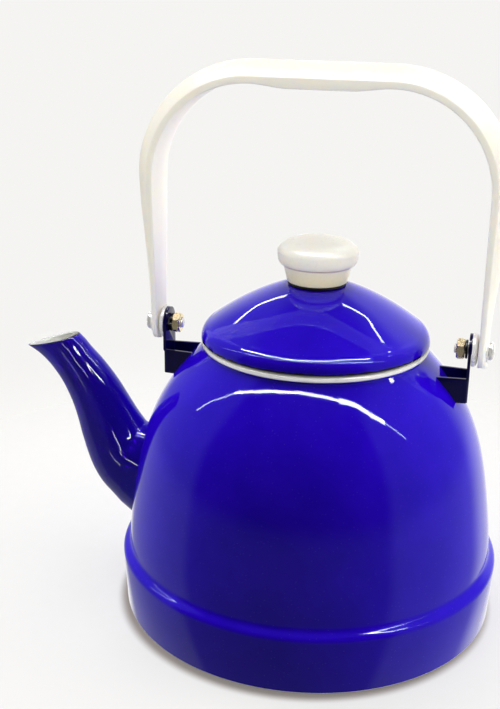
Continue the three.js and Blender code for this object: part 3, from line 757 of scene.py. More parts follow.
def on_pivot(points, side):
    """Points made about the X axis, moved up to the pivot and turned for the side, 1 or -1."""
    points = np.array(points, float)
    return np.stack([points[:, 0] * side, points[:, 1] * side, points[:, 2] + PIVOT_HEIGHT], 1)


def turned_on_pivot(name, outline, side):
    """An outline of (place along X, radius) points turned about the pivot's axis."""
    points, faces, _ = revolved([(radius, place) for place, radius in outline], SMALL_STEPS)
    return new_object(name, on_pivot(points[:, [2, 0, 1]], side), faces)


def ring_outline(inner, outer, low, high, rounding=EDGE_ROUND, steps=CORNER_STEPS):
    """The outline of a flat ring, as (place along the axis, radius) points."""
    places = [(low, inner), (low, outer), (high, outer), (high, inner)]
    return rounded([(*place, rounding) for place in places], steps)


# Materials

def new_material(name):
    material = bpy.data.materials.new(name)
    material.use_nodes = True
    tree = material.node_tree
    return material, tree, tree.nodes["Principled BSDF"]


def feed(tree, node, inputs):
    """Sets a node's inputs to values, or links them to outputs, by name or place."""
    for name, value in inputs.items():
        if isinstance(value, bpy.types.NodeSocket):
            tree.links.new(value, node.inputs[name])
        else:
            node.inputs[name].default_value = value


def add(tree, kind, inputs=(), **settings):
    """A shader node with its settings and its inputs."""
    node = tree.nodes.new(f"ShaderNode{kind}")
    for name, value in settings.items():
        setattr(node, name, value)
    feed(tree, node, dict(inputs))
    return node


def opaque(colour):
    return (*colour, 1)


def place_of(tree, stretch=(1, 1, 1)):
    """The object's own coordinates, in metres, stretched along each axis."""
    source = add(tree, "TexCoord").outputs["Object"]
    return add(tree, "Mapping", {"Vector": source, "Scale": stretch}).outputs["Vector"]


def height_of(tree, place):
    return add(tree, "SeparateXYZ", {"Vector": place}).outputs["Z"]


def noise(tree, place, scale, detail, roughness):
    wanted = {"Vector": place, "Scale": scale, "Detail": detail, "Roughness": roughness}
    return add(tree, "TexNoise", wanted).outputs["Fac"]


def spread(tree, value, low, high, to_low=0.0, to_high=1.0, smooth=False):
    """A value's range from low to high, spread over another range."""
    wanted = {"Value": value, "From Min": low, "From Max": high, "To Min": to_low, "To Max": to_high}
    kind = "SMOOTHSTEP" if smooth else "LINEAR"
    return add(tree, "MapRange", wanted, interpolation_type=kind).outputs["Result"]


def texture(tree, place, settings, to_low=0.0, to_high=1.0):
    """One of the textures listed above, spread over a range."""
    *grain, low, high = settings
    return spread(tree, noise(tree, place, *grain), low, high, to_low, to_high)


def calculate(tree, operation, first, second=0.0):
    return add(tree, "Math", {0: first, 1: second}, operation=operation).outputs["Value"]


def vector_maths(tree, operation, first, second=(0, 0, 0), output="Vector"):
    return add(tree, "VectorMath", {0: first, 1: second}, operation=operation).outputs[output]


def blended(tree, share, first, second):
    """A colour between two, each given as a colour or as a node's output."""
    first, second = (opaque(c) if isinstance(c, tuple) else c for c in (first, second))
    return add(tree, "Mix", {0: share, 6: first, 7: second}, data_type="RGBA").outputs[2]


def bumped(tree, place, *reliefs):
    """A normal from some of the reliefs listed above."""
    wanted = {"Strength": 1.0}
    for *grain, depth in reliefs:
        wanted |= {"Height": noise(tree, place, *grain), "Distance": depth}
        wanted["Normal"] = add(tree, "Bump", wanted).outputs["Normal"]
    return wanted["Normal"]


def specks(tree, place):
    """Sparse fine dots, as pinholes and dust in the glaze leave."""
    cells = add(tree, "TexVoronoi", {"Vector": place, "Scale": SPECK_SCALE})
    chosen = add(tree, "SeparateColor", {"Color": cells.outputs["Color"]}).outputs[0]
    near = calculate(tree, "LESS_THAN", cells.outputs["Distance"], SPECK_SIZE)
    rare = calculate(tree, "GREATER_THAN", chosen, SPECK_RARITY)
    return calculate(tree, "MULTIPLY", near, rare)


def enamel(name, colour, deep, speck, speck_share, wear_and_shade_edge=None):
    """Vitreous enamel: mottled and specked glass with a slight orange peel and slow waves."""
    material, tree, shader = new_material(name)
    place = place_of(tree)
    tone = blended(tree, texture(tree, place, MOTTLE), colour, deep)
    dots = calculate(tree, "MULTIPLY", specks(tree, place), speck_share)
    tone = blended(tree, dots, tone, speck)
    # A dark line along the lower edge: bare iron worn through at the foot, painted shade at the lid's rim.
    if wear_and_shade_edge is not None:
        foot, reach, tint = wear_and_shade_edge
        ragged = texture(tree, place, RAGGED, *RAGGED_SHARES)
        line = calculate(tree, "ADD", calculate(tree, "MULTIPLY", ragged, reach), foot)
        tone = blended(tree, calculate(tree, "LESS_THAN", height_of(tree, place), line), tone, tint)
    feed(tree, shader, {
        "Base Color": tone,
        "Roughness": texture(tree, place, GLAZE_DULL, *GLAZE_ROUGHNESS),
        "Normal": bumped(tree, place, PEEL, WAVES),
        **GLAZE,
    })
    return material


def metal(name, bright, dull, smooth, rough, metallic):
    """Plated or polished metal with uneven polish and fine scratches."""
    material, tree, shader = new_material(name)
    place = place_of(tree)
    patches = texture(tree, place, PATCHES)
    *grain, _ = STREAKS
    uneven = calculate(tree, "ADD", noise(tree, place, *grain), patches)
    feed(tree, shader, {
        "Base Color": blended(tree, patches, bright, dull),
        "Roughness": spread(tree, uneven, *POLISH_RANGE, smooth, rough),
        "Normal": bumped(tree, place, STREAKS),
        "Metallic": metallic,
    })
    return material


def plastic(name, colour, deep, smooth, rough, shade_bands=()):
    """Moulded plastic: slightly uneven colour, shade painted in bands by height, and a satin skin with flow
    marks and fine scuffs.
    """
    material, tree, shader = new_material(name)
    place = place_of(tree)
    tone = blended(tree, texture(tree, place, CLOUDS), colour, deep)
    # Each band paints shade into the colour around its height.
    for middle, reach, tint in shade_bands:
        away = calculate(tree, "SUBTRACT", height_of(tree, place), middle)
        near = spread(tree, calculate(tree, "ABSOLUTE", away), 0.0, reach, 1.0, 0.0, smooth=True)
        tone = blended(tree, near, tone, tint)
    feed(tree, shader, {
        "Base Color": tone,
        "Roughness": texture(tree, place_of(tree, SCUFF_STRETCH), SCUFFS, smooth, rough),
        "Normal": bumped(tree, place, FLOW, GRAIN),
        **PLASTIC,
    })
    return material


def rubber(name):
    material, tree, shader = new_material(name)
    place = place_of(tree)
    dust = texture(tree, place, DUST)
    feed(tree, shader, {
        "Base Color": blended(tree, dust, RUBBER, RUBBER_DULL),
        "Roughness": spread(tree, dust, 0.0, 1.0, *RUBBER_ROUGHNESS),
        "Normal": bumped(tree, place, RUBBER_GRAIN),
    })
    return material


def make_materials():
    return {
        **{key: enamel(*settings) for key, settings in ENAMELS.items()},
        **{key: metal(*settings) for key, settings in METALS.items()},
        **{key: plastic(*settings) for key, settings in PLASTICS.items()},
        "rubber": rubber("black_rubber"),
    }


# Body

def cylinder(radius, low, high, across, steps):
    """A plain cutting cylinder along X, with its axis through the point across it."""
    angle = np.linspace(0, 2 * math.pi, steps, endpoint=False)
    circle = [(across[0] + radius * math.cos(a), across[1] + radius * math.sin(a)) for a in angle]
    return prism("cylinder", circle, "x", low, high)


def strainer_tools():
    """A triangle-packed patch of holes through the wall behind the spout."""
    middle_row = (STRAINER_ROWS - 1) / 2
    row_rise = STRAINER_PITCH * math.sqrt(3) / 2
    ends = (-DOME_RADIUS - OVERRUN, -MOUTH_RADIUS)
    tools = []
    for row in range(STRAINER_ROWS):
        count = STRAINER_COUNTS[row % 2]
        height = STRAINER_HEIGHT + (row - middle_row) * row_rise
        for i in range(count):
            side = (i - (count - 1) / 2) * STRAINER_PITCH
            tools.append(cylinder(STRAINER_HOLE / 2, *ends, (side, height), HOLE_STEPS))
    return tools


def make_body(paint):
    outer = np.vstack([BODY_LINE, [(MOUTH_RADIUS, MOUTH_HEIGHT + MOUTH_LIP)]])
    outer[0, 1] += BODY_WALL / 2
    outer[-1] += unit(outer[-2] - outer[-1]) * BODY_WALL / 2
    outline = sheet(outer, BODY_WALL)
    points, faces, places = revolved(outline, ROUND_STEPS)
    piece = new_object("body_enamel", points, faces)
    piece.data.materials.append(paint["body"])
    piece.data.materials.append(paint["pale"])
    first = len(outer) + EDGE_STEPS // 2
    paint_inside(piece, places, range(first, len(outline)))
    combined(piece, "DIFFERENCE", *strainer_tools())
    dress(piece, "kettle", "blue_enamel")
    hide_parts("body_shell")


def make_base_plate(paint):
    outer = FOOT_RADIUS - BODY_WALL - SEAT_GAP
    outline = rounded([
        (0, 0, 0),
        (outer, 0, BASE_CORNER),
        (outer, BASE_LIP, BASE_WALL * CUT_EDGE_SHARE),
        (outer - BASE_WALL, BASE_LIP, BASE_WALL * CUT_EDGE_SHARE),
        (outer - BASE_WALL, BASE_WALL, BASE_CORNER - BASE_WALL),
        (0, BASE_WALL, 0),
    ])
    piece = dress(turned("base_enamel", outline), "kettle", "blue_enamel", paint["blue"])
    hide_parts("base_plate")


def make_mouth_ring(paint):
    bead_bottom = RING_BOTTOM + MOUTH_LIP
    bead = (RING_TOP - bead_bottom) / 2
    centre = (RING_OUTER - bead, bead_bottom + bead)
    inner_round = RING_WALL * CUT_EDGE_SHARE
    head = rounded([
        (SLEEVE_INNER, RING_TOP, RING_WALL),
        (SLEEVE_INNER, RING_BOTTOM - RING_TONGUE, inner_round),
        (SLEEVE_OUTER, RING_BOTTOM - RING_TONGUE, inner_round),
        (SLEEVE_OUTER, bead_bottom, 0),
        (centre[0], bead_bottom, 0),
        (centre[0], RING_TOP, 0),
    ])
    outline = np.vstack([head[:-2], arc(centre, bead, -math.pi / 2, math.pi / 2)])
    piece = dress(turned("ring_steel", outline), "kettle", "polished_steel", paint["ring"])
    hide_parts("mouth_ring")


# Spout

def spout_lines(shrink):
    """Lines of points along the spout, from the root to the mouth, one for each place around it."""
    shares = spline(SPOUT_SHARES, SPOUT_FINE)
    flat = np.zeros(len(shares))
    under = np.stack([-SPOUT_REACH * shares[:, 0], flat, SPOUT_RISE * shares[:, 1]], 1)
    top = np.stack([-SPOUT_REACH * shares[:, 2], flat, SPOUT_RISE * shares[:, 3]], 1)
    centre = (under + top) / 2
    up = top - centre
    half = np.linalg.norm(up, axis=1)[:, None]
    half_width = SPOUT_HALF_WIDTH * shares[:, 4] - shrink
    pinch = LIP_PINCH * np.linspace(0, 1, len(shares)) ** LIP_PINCH_POWER
    lines = []
    for angle in np.linspace(0, 2 * math.pi, SPOUT_SIDES, endpoint=False):
        line = centre + up / half * (half - shrink) * math.cos(angle)
        line[:, 1] += half_width * math.sin(angle) * (1 + pinch * math.cos(angle))
        lines.append(line)
    return lines


def trimmed(line, depth, rings, stop):
    """A line cut where it leaves the body's wall, this deep below the face, and evenly spread again."""
    places = np.arange(len(line))
    clear = np.hypot(line[:, 0], line[:, 1]) - (body_radius(line[:, 2]) - depth)
    last = np.flatnonzero(clear < 0).max()
    start = last + clear[last] / (clear[last] - clear[last + 1])
    wanted = np.linspace(start, stop, rings + 1)
    return np.stack([np.interp(wanted, places, line[:, k]) for k in range(3)], 1)


def body_normal(point):
    """The direction out of the body's face at a point on it."""
    step = SEAT_GAP
    slope = (body_radius(point[2] + step) - body_radius(point[2] - step)) / (2 * step)
    return unit(np.array([*(point[:2] / np.hypot(*point[:2])), -slope]))


def weld_points(rims, lines, j):
    """The fillet from the body's face up to the spout's wall, on one line."""
    point = rims[j]
    normal = body_normal(point)
    around = rims[(j + 1) % SPOUT_SIDES] - rims[j - 1]
    away = unit(np.cross(around, normal))
    middle = np.mean(rims, axis=0)
    if away @ (point - middle) < 0:
        away = -away
    along = unit(lines[j][1] - lines[j][0])
    made = [point + away * SPOUT_WELD - normal * (BODY_WALL / 2)]
    for angle in np.linspace(math.pi / 2, 0, WELD_STEPS + 1):
        place = point + along * SPOUT_WELD * (1 - math.sin(angle))
        place = place + away * SPOUT_WELD * (1 - math.cos(angle))
        # The fillet's outer edge sinks into the face, which curves away from it.
        made.append(place - normal * SPOUT_WELD_SINK * math.sin(angle))
    return made


def make_spout(paint):
    outer_lines = spout_lines(0)
    lengths = np.linalg.norm(np.diff(outer_lines[SPOUT_SIDES // 2], axis=0), axis=1)
    stop = SPOUT_FINE - SPOUT_WALL / 2 / lengths[-1]
    outer = [trimmed(line, 0, SPOUT_RINGS, stop) for line in outer_lines]
    inner = [trimmed(line, BODY_WALL / 2, SPOUT_RINGS, stop) for line in spout_lines(SPOUT_WALL)]
    rims = np.array([line[0] for line in outer])
    lines = []
    for j in range(SPOUT_SIDES):
        weld = weld_points(rims, outer, j)
        along = unit(outer[j][1] - outer[j][0])
        outside = [p for p in outer[j] if (p - weld[-1]) @ along > SPOUT_WELD * WELD_CLEAR_SHARE]
        outside = outside[-(SPOUT_RINGS - WELD_STEPS):]
        end, start = outer[j][-1], inner[j][-1]
        forward = unit(end - outer[j][-2]) * np.linalg.norm(end - start) / 2
        lines.append([*weld, *outside, *half_circle(end, start, forward), *inner[j][::-1]])
    rings = np.array(lines).transpose(1, 0, 2)
    piece = new_object("spout_enamel", rings.reshape(-1, 3), skin(rings, closed=True))
    lip_start = len(rings) - (SPOUT_RINGS + 1) - (EDGE_STEPS - 1)
    for polygon in piece.data.polygons:
        ring = polygon.index // SPOUT_SIDES
        if ring >= lip_start + EDGE_STEPS // 2:
            polygon.material_index = 1
        elif ring >= lip_start - 1:
            polygon.material_index = 2
    dress(piece, "kettle", "blue_enamel", paint["spout"], paint["pale"], paint["rim"])
    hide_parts("spout")
    return piece


# Lid

def make_lid(paint):
    hole = KNOB_SCREW_RADIUS + SEAT_GAP
    outer = np.vstack([lid_outline(), [(hole + LID_WALL / 2, LID_TOP)]])
    outer[0, 1] += LID_WALL / 2
    outline = sheet(outer, LID_WALL)
    points, faces, places = revolved(outline, ROUND_STEPS)
    piece = new_object("lid_enamel", points, faces)
    first = len(outer) + EDGE_STEPS // 2
    paint_inside(piece, places, range(first, len(outline) - EDGE_STEPS // 2))
    dress(piece, "lid", "blue_enamel", paint["lid"], paint["pale"])
    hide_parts("lid_shell")


def make_skirt(paint):
    outer = SLEEVE_INNER - SKIRT_CLEARANCE
    line = lid_outline()
    under = offset(line, LID_WALL + SEAT_GAP)
    lower = offset(line, LID_WALL + SEAT_GAP + SKIRT_WALL)
    flange = outer - SKIRT_FLANGE
    foot = rounded([
        (outer - SKIRT_WALL, LID_EDGE, 0),
        (outer - SKIRT_WALL, LID_EDGE - SKIRT_DEPTH, SKIRT_WALL * CUT_EDGE_SHARE),
        (outer, LID_EDGE - SKIRT_DEPTH, SKIRT_WALL * CUT_EDGE_SHARE),
        (outer, LID_EDGE, 0),
    ])
    outline = np.vstack([
        foot,
        between(under, flange, outer)[::-1],
        between(lower, flange, outer - SKIRT_WALL),
    ])
    piece = dress(turned("skirt_enamel", outline), "lid", "pale_enamel", paint["pale"])
    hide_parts("lid_skirt")


def make_gasket(paint):
    outline = ring_outline(
        KNOB_SCREW_RADIUS + SEAT_GAP, KNOB_GASKET_RADIUS,
        GASKET_FOOT, GASKET_FOOT + KNOB_GASKET, KNOB_GASKET * CUT_EDGE_SHARE,
    )
    piece = turned("gasket_rubber", outline[:, ::-1], NUT_STEPS)
    dress(piece, "lid", "black_rubber", paint["rubber"])
    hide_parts("knob_gasket")


def make_knob(paint):
    middle = KNOB_CREASE + KNOB_HEAD_LOW
    top = KNOB_CREASE + KNOB_HEAD_HEIGHT
    bore = INSERT_RADIUS + SEAT_GAP
    bore_top = INSERT_FOOT + INSERT_LENGTH + SEAT_GAP
    lower = bezier([
        (KNOB_CREASE_RADIUS, KNOB_CREASE),
        (KNOB_HEAD_RADIUS, KNOB_CREASE),
        (KNOB_HEAD_RADIUS, middle),
    ])
    upper = bezier([
        (KNOB_HEAD_RADIUS, middle),
        (KNOB_HEAD_RADIUS, top - KNOB_HEAD_LOW * KNOB_TOP_ROUND_SHARE),
        (KNOB_HEAD_RADIUS * KNOB_TOP_ROUND_SHARE, top),
        (0, top),
    ], 2 * CURVE_STEPS)
    first = np.flatnonzero(lower[:, 0] > KNOB_CREASE_RADIUS + KNOB_CREASE_ROUND)[0]
    neck = rounded([
        (0, bore_top, 0),
        (bore, bore_top, 0),
        (bore, KNOB_FOOT, KNOB_FOOT_ROUND),
        (KNOB_NECK_RADIUS, KNOB_FOOT, KNOB_FOOT_ROUND),
        (KNOB_CREASE_RADIUS, KNOB_CREASE, KNOB_CREASE_ROUND),
        (*lower[first], 0),
    ])
    outline = np.vstack([neck, lower[first + 1:], upper[1:]])
    piece = turned("knob_plastic", outline, NUT_STEPS)
    dress(piece, "lid", "cream_plastic", paint["knob"])
    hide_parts("knob")


# Ears and pivots

def channel_side(web, half, mouth, bend):
    """One face of the channel, from a flange's tip round to the web, on the -Y side."""
    corner = [(web - bend, -half), (web, -half), (web, -half + bend)]
    return np.vstack([[(WEB_OUTER - EAR_FLANGE_REACH, -mouth)], bezier(corner, CORNER_STEPS)])


def channel_outline():
    """The ear's channel seen from above: the web, two bends, and flanges that open towards the body."""
    half, mouth = EAR_WIDTH / 2, EAR_MOUTH_WIDTH / 2
    outer = channel_side(WEB_OUTER, half, mouth, EAR_BEND)
    inner = channel_side(WEB_INNER, half - EAR_SHEET, mouth - EAR_SHEET, EAR_BEND - EAR_SHEET)
    mirror = np.array([1, -1])
    return np.vstack([outer, (outer * mirror)[::-1], inner * mirror, inner[::-1]])


def tab_outline():
    """The tab seen along X: it rises from inside the channel to a round end about the pivot."""
    half = EAR_WIDTH / 2
    foot = (EAR_BOTTOM + EAR_FLANGE_TOP) / 2
    shoulder = [
        (half - EAR_BEND, foot),
        (half - EAR_BEND, EAR_FLANGE_TOP - EAR_BEND),
        (half, EAR_FLANGE_TOP),
    ]
    head = arc((0, PIVOT_HEIGHT), half, 0, math.pi)
    return [*shoulder, *head, *[(-y, z) for y, z in reversed(shoulder)]]


def body_plug(depth):
    """A solid of the body's outer shape, this much smaller, to trim what is welded on."""
    side = offset(BODY_LINE[::PLUG_STRIDE], depth)
    outline = np.vstack([[(0, side[0][1])], side, [(0, side[-1][1])]])
    return turned("plug", outline)


def make_ear(paint, place, side):
    channel = prism(f"{place}_ear_enamel", channel_outline(), "z", EAR_BOTTOM, EAR_FLANGE_TOP)
    tab = prism("tab", tab_outline(), "x", WEB_INNER, WEB_OUTER)
    piece = combined(channel, "UNION", tab)
    ends = (WEB_INNER - OVERRUN, WEB_OUTER + OVERRUN)
    hole = cylinder(PIVOT_BORE, *ends, (0, PIVOT_HEIGHT), SMALL_STEPS)
    combined(piece, "DIFFERENCE", hole)
    bevelled(piece, EAR_EDGE)
    combined(piece, "DIFFERENCE", body_plug(EAR_SINK))
    if side < 0:
        piece.data.transform(Matrix.Rotation(math.pi, 4, "Z"))
    dress(piece, "kettle", "navy_enamel", paint["navy"])
    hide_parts(f"{place}_ear")


def make_nut(paint, place, side):
    """A hexagon nut, with its corners chamfered and its bore countersunk on both faces."""
    angle = np.linspace(0, 2 * math.pi, NUT_STEPS, endpoint=False)
    sector = math.pi / 3
    hexagon = NUT_FLATS / 2 / np.cos((angle + sector / 2) % sector - sector / 2)
    flat = np.full(NUT_STEPS, NUT_FLATS / 2 * NUT_FACE_SHARE)
    corner = NUT_FLATS / math.sqrt(3)
    drop = np.clip((hexagon - flat) / (corner - flat), 0, 1) * NUT_CHAMFER
    bore = np.full(NUT_STEPS, PIVOT_RADIUS + SEAT_GAP / 2)
    sunk = bore + NUT_SINK
    low, high = np.full(NUT_STEPS, NUT_INNER), np.full(NUT_STEPS, NUT_OUTER)
    loops = [
        (low + NUT_SINK, bore), (low, sunk), (low, flat), (low + drop, hexagon),
        (high - drop, hexagon), (high, flat), (high, sunk), (high - NUT_SINK, bore),
    ]
    rings = [np.stack([x, r * np.cos(angle), r * np.sin(angle)], 1) for x, r in loops]
    points = on_pivot(np.vstack(rings), side)
    piece = new_object(f"{place}_nut_zinc", points, skin(rings, closed=True))
    dress(piece, "kettle", "yellow_zinc", paint["zinc"])
    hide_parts(f"{place}_nut")


def make_lock_washer(paint, place, side):
    """A split ring of spring steel whose two ends stand a little apart."""
    low = NUT_OUTER + SEAT_GAP / 2
    high = low + LOCK_WASHER - LOCK_WASHER_LEAD
    section = ring_outline(PIVOT_BORE, LOCK_WASHER_RADIUS, low, high, steps=WASHER_CORNER_STEPS)
    rings = []
    turn = np.linspace(LOCK_WASHER_GAP, 2 * math.pi - LOCK_WASHER_GAP, SMALL_STEPS)
    for share, angle in zip(np.linspace(0, 1, SMALL_STEPS), turn):
        lead = LOCK_WASHER_LEAD * share
        rings.append([(x + lead, r * math.cos(angle), r * math.sin(angle)) for x, r in section])
    points = on_pivot(np.array(rings).reshape(-1, 3), side)
    piece = new_object(f"{place}_lock_washer_zinc", points, skin(rings))
    dress(piece, "kettle", "black_zinc", paint["black"])
    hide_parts(f"{place}_lock_washer")


def make_domed_washer(paint, place, side):
    rise = bezier([
        (DOME_FACE, PIVOT_BORE),
        (DOME_FACE, DOME_WASHER_RADIUS),
        (DOME_FOOT + DOME_WASHER_EDGE, DOME_WASHER_RADIUS),
    ])
    foot = rounded([
        (DOME_FACE, PIVOT_BORE, 0),
        (DOME_FOOT, PIVOT_BORE, EDGE_ROUND),
        (DOME_FOOT, DOME_WASHER_RADIUS, EDGE_ROUND),
        (DOME_FOOT + DOME_WASHER_EDGE, DOME_WASHER_RADIUS, 0),
    ])
    outline = np.vstack([foot, rise[::-1][1:-1]])
    piece = turned_on_pivot(f"{place}_domed_washer_steel", outline, side)
    dress(piece, "kettle", "polished_steel", paint["washer"])
    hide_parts(f"{place}_domed_washer")


def make_head_washer(paint, place, side):
    outline = ring_outline(PIVOT_BORE, HEAD_WASHER_RADIUS, HEAD_WASHER_FOOT, HEAD_WASHER_FACE)
    piece = turned_on_pivot(f"{place}_screw_washer_steel", outline, side)
    dress(piece, "kettle", "polished_steel", paint["washer"])
    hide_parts(f"{place}_screw_washer")


def thread_outline(start, end):
    """Ridges of a screw's thread, as (place along the axis, radius) points."""
    count = round((end - start) / THREAD_PITCH * THREAD_STEPS)
    made = []
    for i in range(count + 1):
        wave = (1 - math.cos(2 * math.pi * i / THREAD_STEPS)) / 2
        made.append((start + (end - start) * i / count, PIVOT_RADIUS - THREAD_DEPTH * wave))
    return made


def make_pivot_screw(paint, place, side):
    tip = NUT_INNER - SCREW_TIP
    head = SCREW_SEAT + SCREW_HEAD
    dome = bezier([
        (SCREW_SEAT + SCREW_HEAD * SCREW_RIM_SHARE, SCREW_HEAD_RADIUS),
        (head, SCREW_HEAD_RADIUS),
        (head, 0),
    ])
    outline = [
        (tip, 0),
        (tip, PIVOT_RADIUS - THREAD_DEPTH - EDGE_ROUND),
        *thread_outline(tip + EDGE_ROUND, SCREW_SEAT - SEAT_GAP),
        (SCREW_SEAT, PIVOT_RADIUS),
        (SCREW_SEAT, SCREW_HEAD_RADIUS - EDGE_ROUND),
        (SCREW_SEAT + EDGE_ROUND, SCREW_HEAD_RADIUS),
        *dome,
    ]
    piece = turned_on_pivot(f"{place}_pivot_screw_steel", outline, side)
    reach = SCREW_HEAD_RADIUS + OVERRUN
    half = SCREW_SLOT / 2
    slot_outline = [
        (-reach, PIVOT_HEIGHT - half), (reach, PIVOT_HEIGHT - half),
        (reach, PIVOT_HEIGHT + half), (-reach, PIVOT_HEIGHT + half),
    ]
    ends = sorted([side * (head - SCREW_SLOT), side * (head + OVERRUN)])
    combined(piece, "DIFFERENCE", prism("slot", slot_outline, "x", *ends))
    dress(piece, "kettle", "polished_steel", paint["steel"])
    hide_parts(f"{place}_pivot_screw")


# Bail handle, in its own upright plane with the pivot's axis at zero height

def smoothstep(value, low, high):
    share = min(max((value - low) / (high - low), 0), 1)
    return share * share * (3 - 2 * share)


def bail_stations():
    """The middle of the strap's inner face, from one end up to the middle of the bar.

    Each station has its place and the direction outwards from the arch.
    """
    end_radius = BAIL_END_WIDTH / 2
    leg = BAIL_HEIGHT - BAIL_CORNER
    corner = np.array([LEG_INNER - BAIL_CORNER, leg])
    stations = []
    for i in range(END_STEPS + 1):
        angle = END_CAP_ANGLE + (math.pi / 2 - END_CAP_ANGLE) * i / END_STEPS
        stations.append((np.array([LEG_INNER, -end_radius * math.cos(angle)]), np.array([1, 0])))
    for i in range(1, LEG_STEPS):
        stations.append((np.array([LEG_INNER, leg * i / LEG_STEPS]), np.array([1, 0])))
    for i in range(BAIL_CORNER_STEPS + 1):
        angle = math.pi / 2 * i / BAIL_CORNER_STEPS
        out = np.array([math.cos(angle), math.sin(angle)])
        stations.append((corner + out * BAIL_CORNER, out))
    for i in range(1, BAR_STEPS + 1):
        stations.append((np.array([corner[0] * (1 - i / BAR_STEPS), BAIL_HEIGHT]), np.array([0, 1])))
    return stations


def strap_section(width, edge, bulge):
    """A flat inner face, two straight edges and a bulged outer face, as (across, height) points."""
    half = width / 2
    inner_round = min(BAIL_ROUND, half * BAIL_ROUND_LIMIT_SHARE)
    outer_round = min(BAIL_EDGE_ROUND, half * BAIL_EDGE_ROUND_LIMIT_SHARE)
    crown = [(share * half, edge + bulge * (1 - share ** 2), 0) for share in BULGE_SHARES]
    return rounded([
        (-half, 0, inner_round), (half, 0, inner_round), (half, edge, outer_round),
        *crown, (-half, edge, outer_round),
    ], STRAP_CORNER_STEPS)


def strap_ring(place, out, mirror):
    grown = smoothstep(place[1], 0, BAIL_TAPER_LENGTH)
    end_chord = 2 * math.sqrt((BAIL_END_WIDTH / 2) ** 2 - min(place[1], 0) ** 2)
    width = end_chord + (BAIL_WIDTH - BAIL_END_WIDTH) * grown
    edge = BAIL_EDGE_END + (BAIL_EDGE_TOP - BAIL_EDGE_END) * grown
    bulge = BAIL_BULGE_END + (BAIL_BULGE_TOP - BAIL_BULGE_END) * grown
    swell = GRIP_SWELL * (1 - smoothstep(abs(place[0]), GRIP_FLAT_HALF_LENGTH, GRIP_HALF_LENGTH))
    ring = []
    for across, height in strap_section(width, edge + swell, bulge):
        corner = place + out * (height - swell)
        ring.append((corner[0] * mirror, across, corner[1] + PIVOT_HEIGHT))
    return ring


def make_bail(paint):
    stations = bail_stations()
    right = [strap_ring(place, out, 1) for place, out in stations]
    left = [strap_ring(place, out, -1) for place, out in stations[:-1]][::-1]
    rings = right + left
    piece = new_object("bail_plastic", np.array(rings).reshape(-1, 3), skin(rings))
    bores = [(PIVOT_BORE, LEG_INNER - OVERRUN), (HEAD_WASHER_RADIUS + SEAT_GAP, RECESS_FLOOR)]
    tools = []
    for way in (1, -1):
        for radius, start in bores:
            ends = sorted([way * start, way * (LEG_OUTER + OVERRUN)])
            tools.append(cylinder(radius, *ends, (0, PIVOT_HEIGHT), SMALL_STEPS))
    combined(piece, "DIFFERENCE", *tools)
    dress(piece, "bail", "cream_plastic", paint["bail"])
    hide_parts("bail_handle")


# Studio

def camera_axes():
    """The camera's right, up and back directions."""
    level, dip = math.cos(CAMERA_PITCH), math.sin(CAMERA_PITCH)
    forward = Vector((math.sin(CAMERA_HEADING) * level, math.cos(CAMERA_HEADING) * level, -dip))
    right = Vector((math.cos(CAMERA_HEADING), -math.sin(CAMERA_HEADING), 0))
    up = right.cross(forward)
    lean, keep = math.sin(CAMERA_ROLL), math.cos(CAMERA_ROLL)
    return right * keep + up * lean, up * keep - right * lean, -forward


def standing(place, right, up, back):
    """The matrix of a thing at a place, with its own axes along three directions."""
    return Matrix.Translation(place) @ Matrix((right, up, back)).transposed().to_4x4()


def make_camera():
    data = bpy.data.cameras.new("camera")
    data.lens = CAMERA_LENS
    data.sensor_width = CAMERA_SENSOR
    data.clip_start, data.clip_end = CAMERA_CLIP
    camera = linked("camera", data)
    camera.matrix_world = standing(CAMERA_PLACE, *camera_axes())
    bpy.context.scene.camera = camera


def make_floor():
    angle = np.linspace(0, 2 * math.pi, FLOOR_STEPS, endpoint=False)
    rim = [(FLOOR_RIM * math.cos(a), FLOOR_RIM * math.sin(a), -FLOOR_DROP) for a in angle]
    floor = new_object("floor", rim, [tuple(range(FLOOR_STEPS))])
    material, tree, shader = new_material("floor_board")
    place = place_of(tree)
    # A warm shadow is painted on the floor around the foot, where the floor's glow is lower too.
    from_shadow_centre = vector_maths(tree, "SUBTRACT", place, PAINTED_SHADOW_CENTRE)
    shadow_distance = vector_maths(tree, "LENGTH", from_shadow_centre, output="Value")
    away = spread(tree, shadow_distance, *PAINTED_SHADOW_RADII, smooth=True)
    board = blended(tree, texture(tree, place, FLOOR_PATCHES), FLOOR, FLOOR_DEEP)
    distance = vector_maths(tree, "LENGTH", place, output="Value")
    feed(tree, shader, {
        "Base Color": blended(tree, away, FLOOR_PAINTED_SHADOW, board),
        "Roughness": texture(tree, place, FLOOR_GRAIN, *FLOOR_ROUGHNESS),
        "Specular IOR Level": FLOOR_GLOSS,
        "Emission Color": opaque(BACKDROP),
        "Emission Strength": spread(tree, away, 0.0, 1.0, SHADOW_GLOW, FLOOR_GLOW),
        "Alpha": spread(tree, distance, FLOOR_CLEAR_RADIUS, FLOOR_RADIUS, 1.0, 0.0, smooth=True),
    })
    floor.data.materials.append(material)
    floor.visible_diffuse = False
    floor.visible_glossy = False


def level_between(tree, share, first, second):
    """A brightness between two, by a share from 0 to 1."""
    kept = calculate(tree, "MULTIPLY", first, calculate(tree, "SUBTRACT", 1.0, share))
    return calculate(tree, "ADD", kept, calculate(tree, "MULTIPLY", share, second))


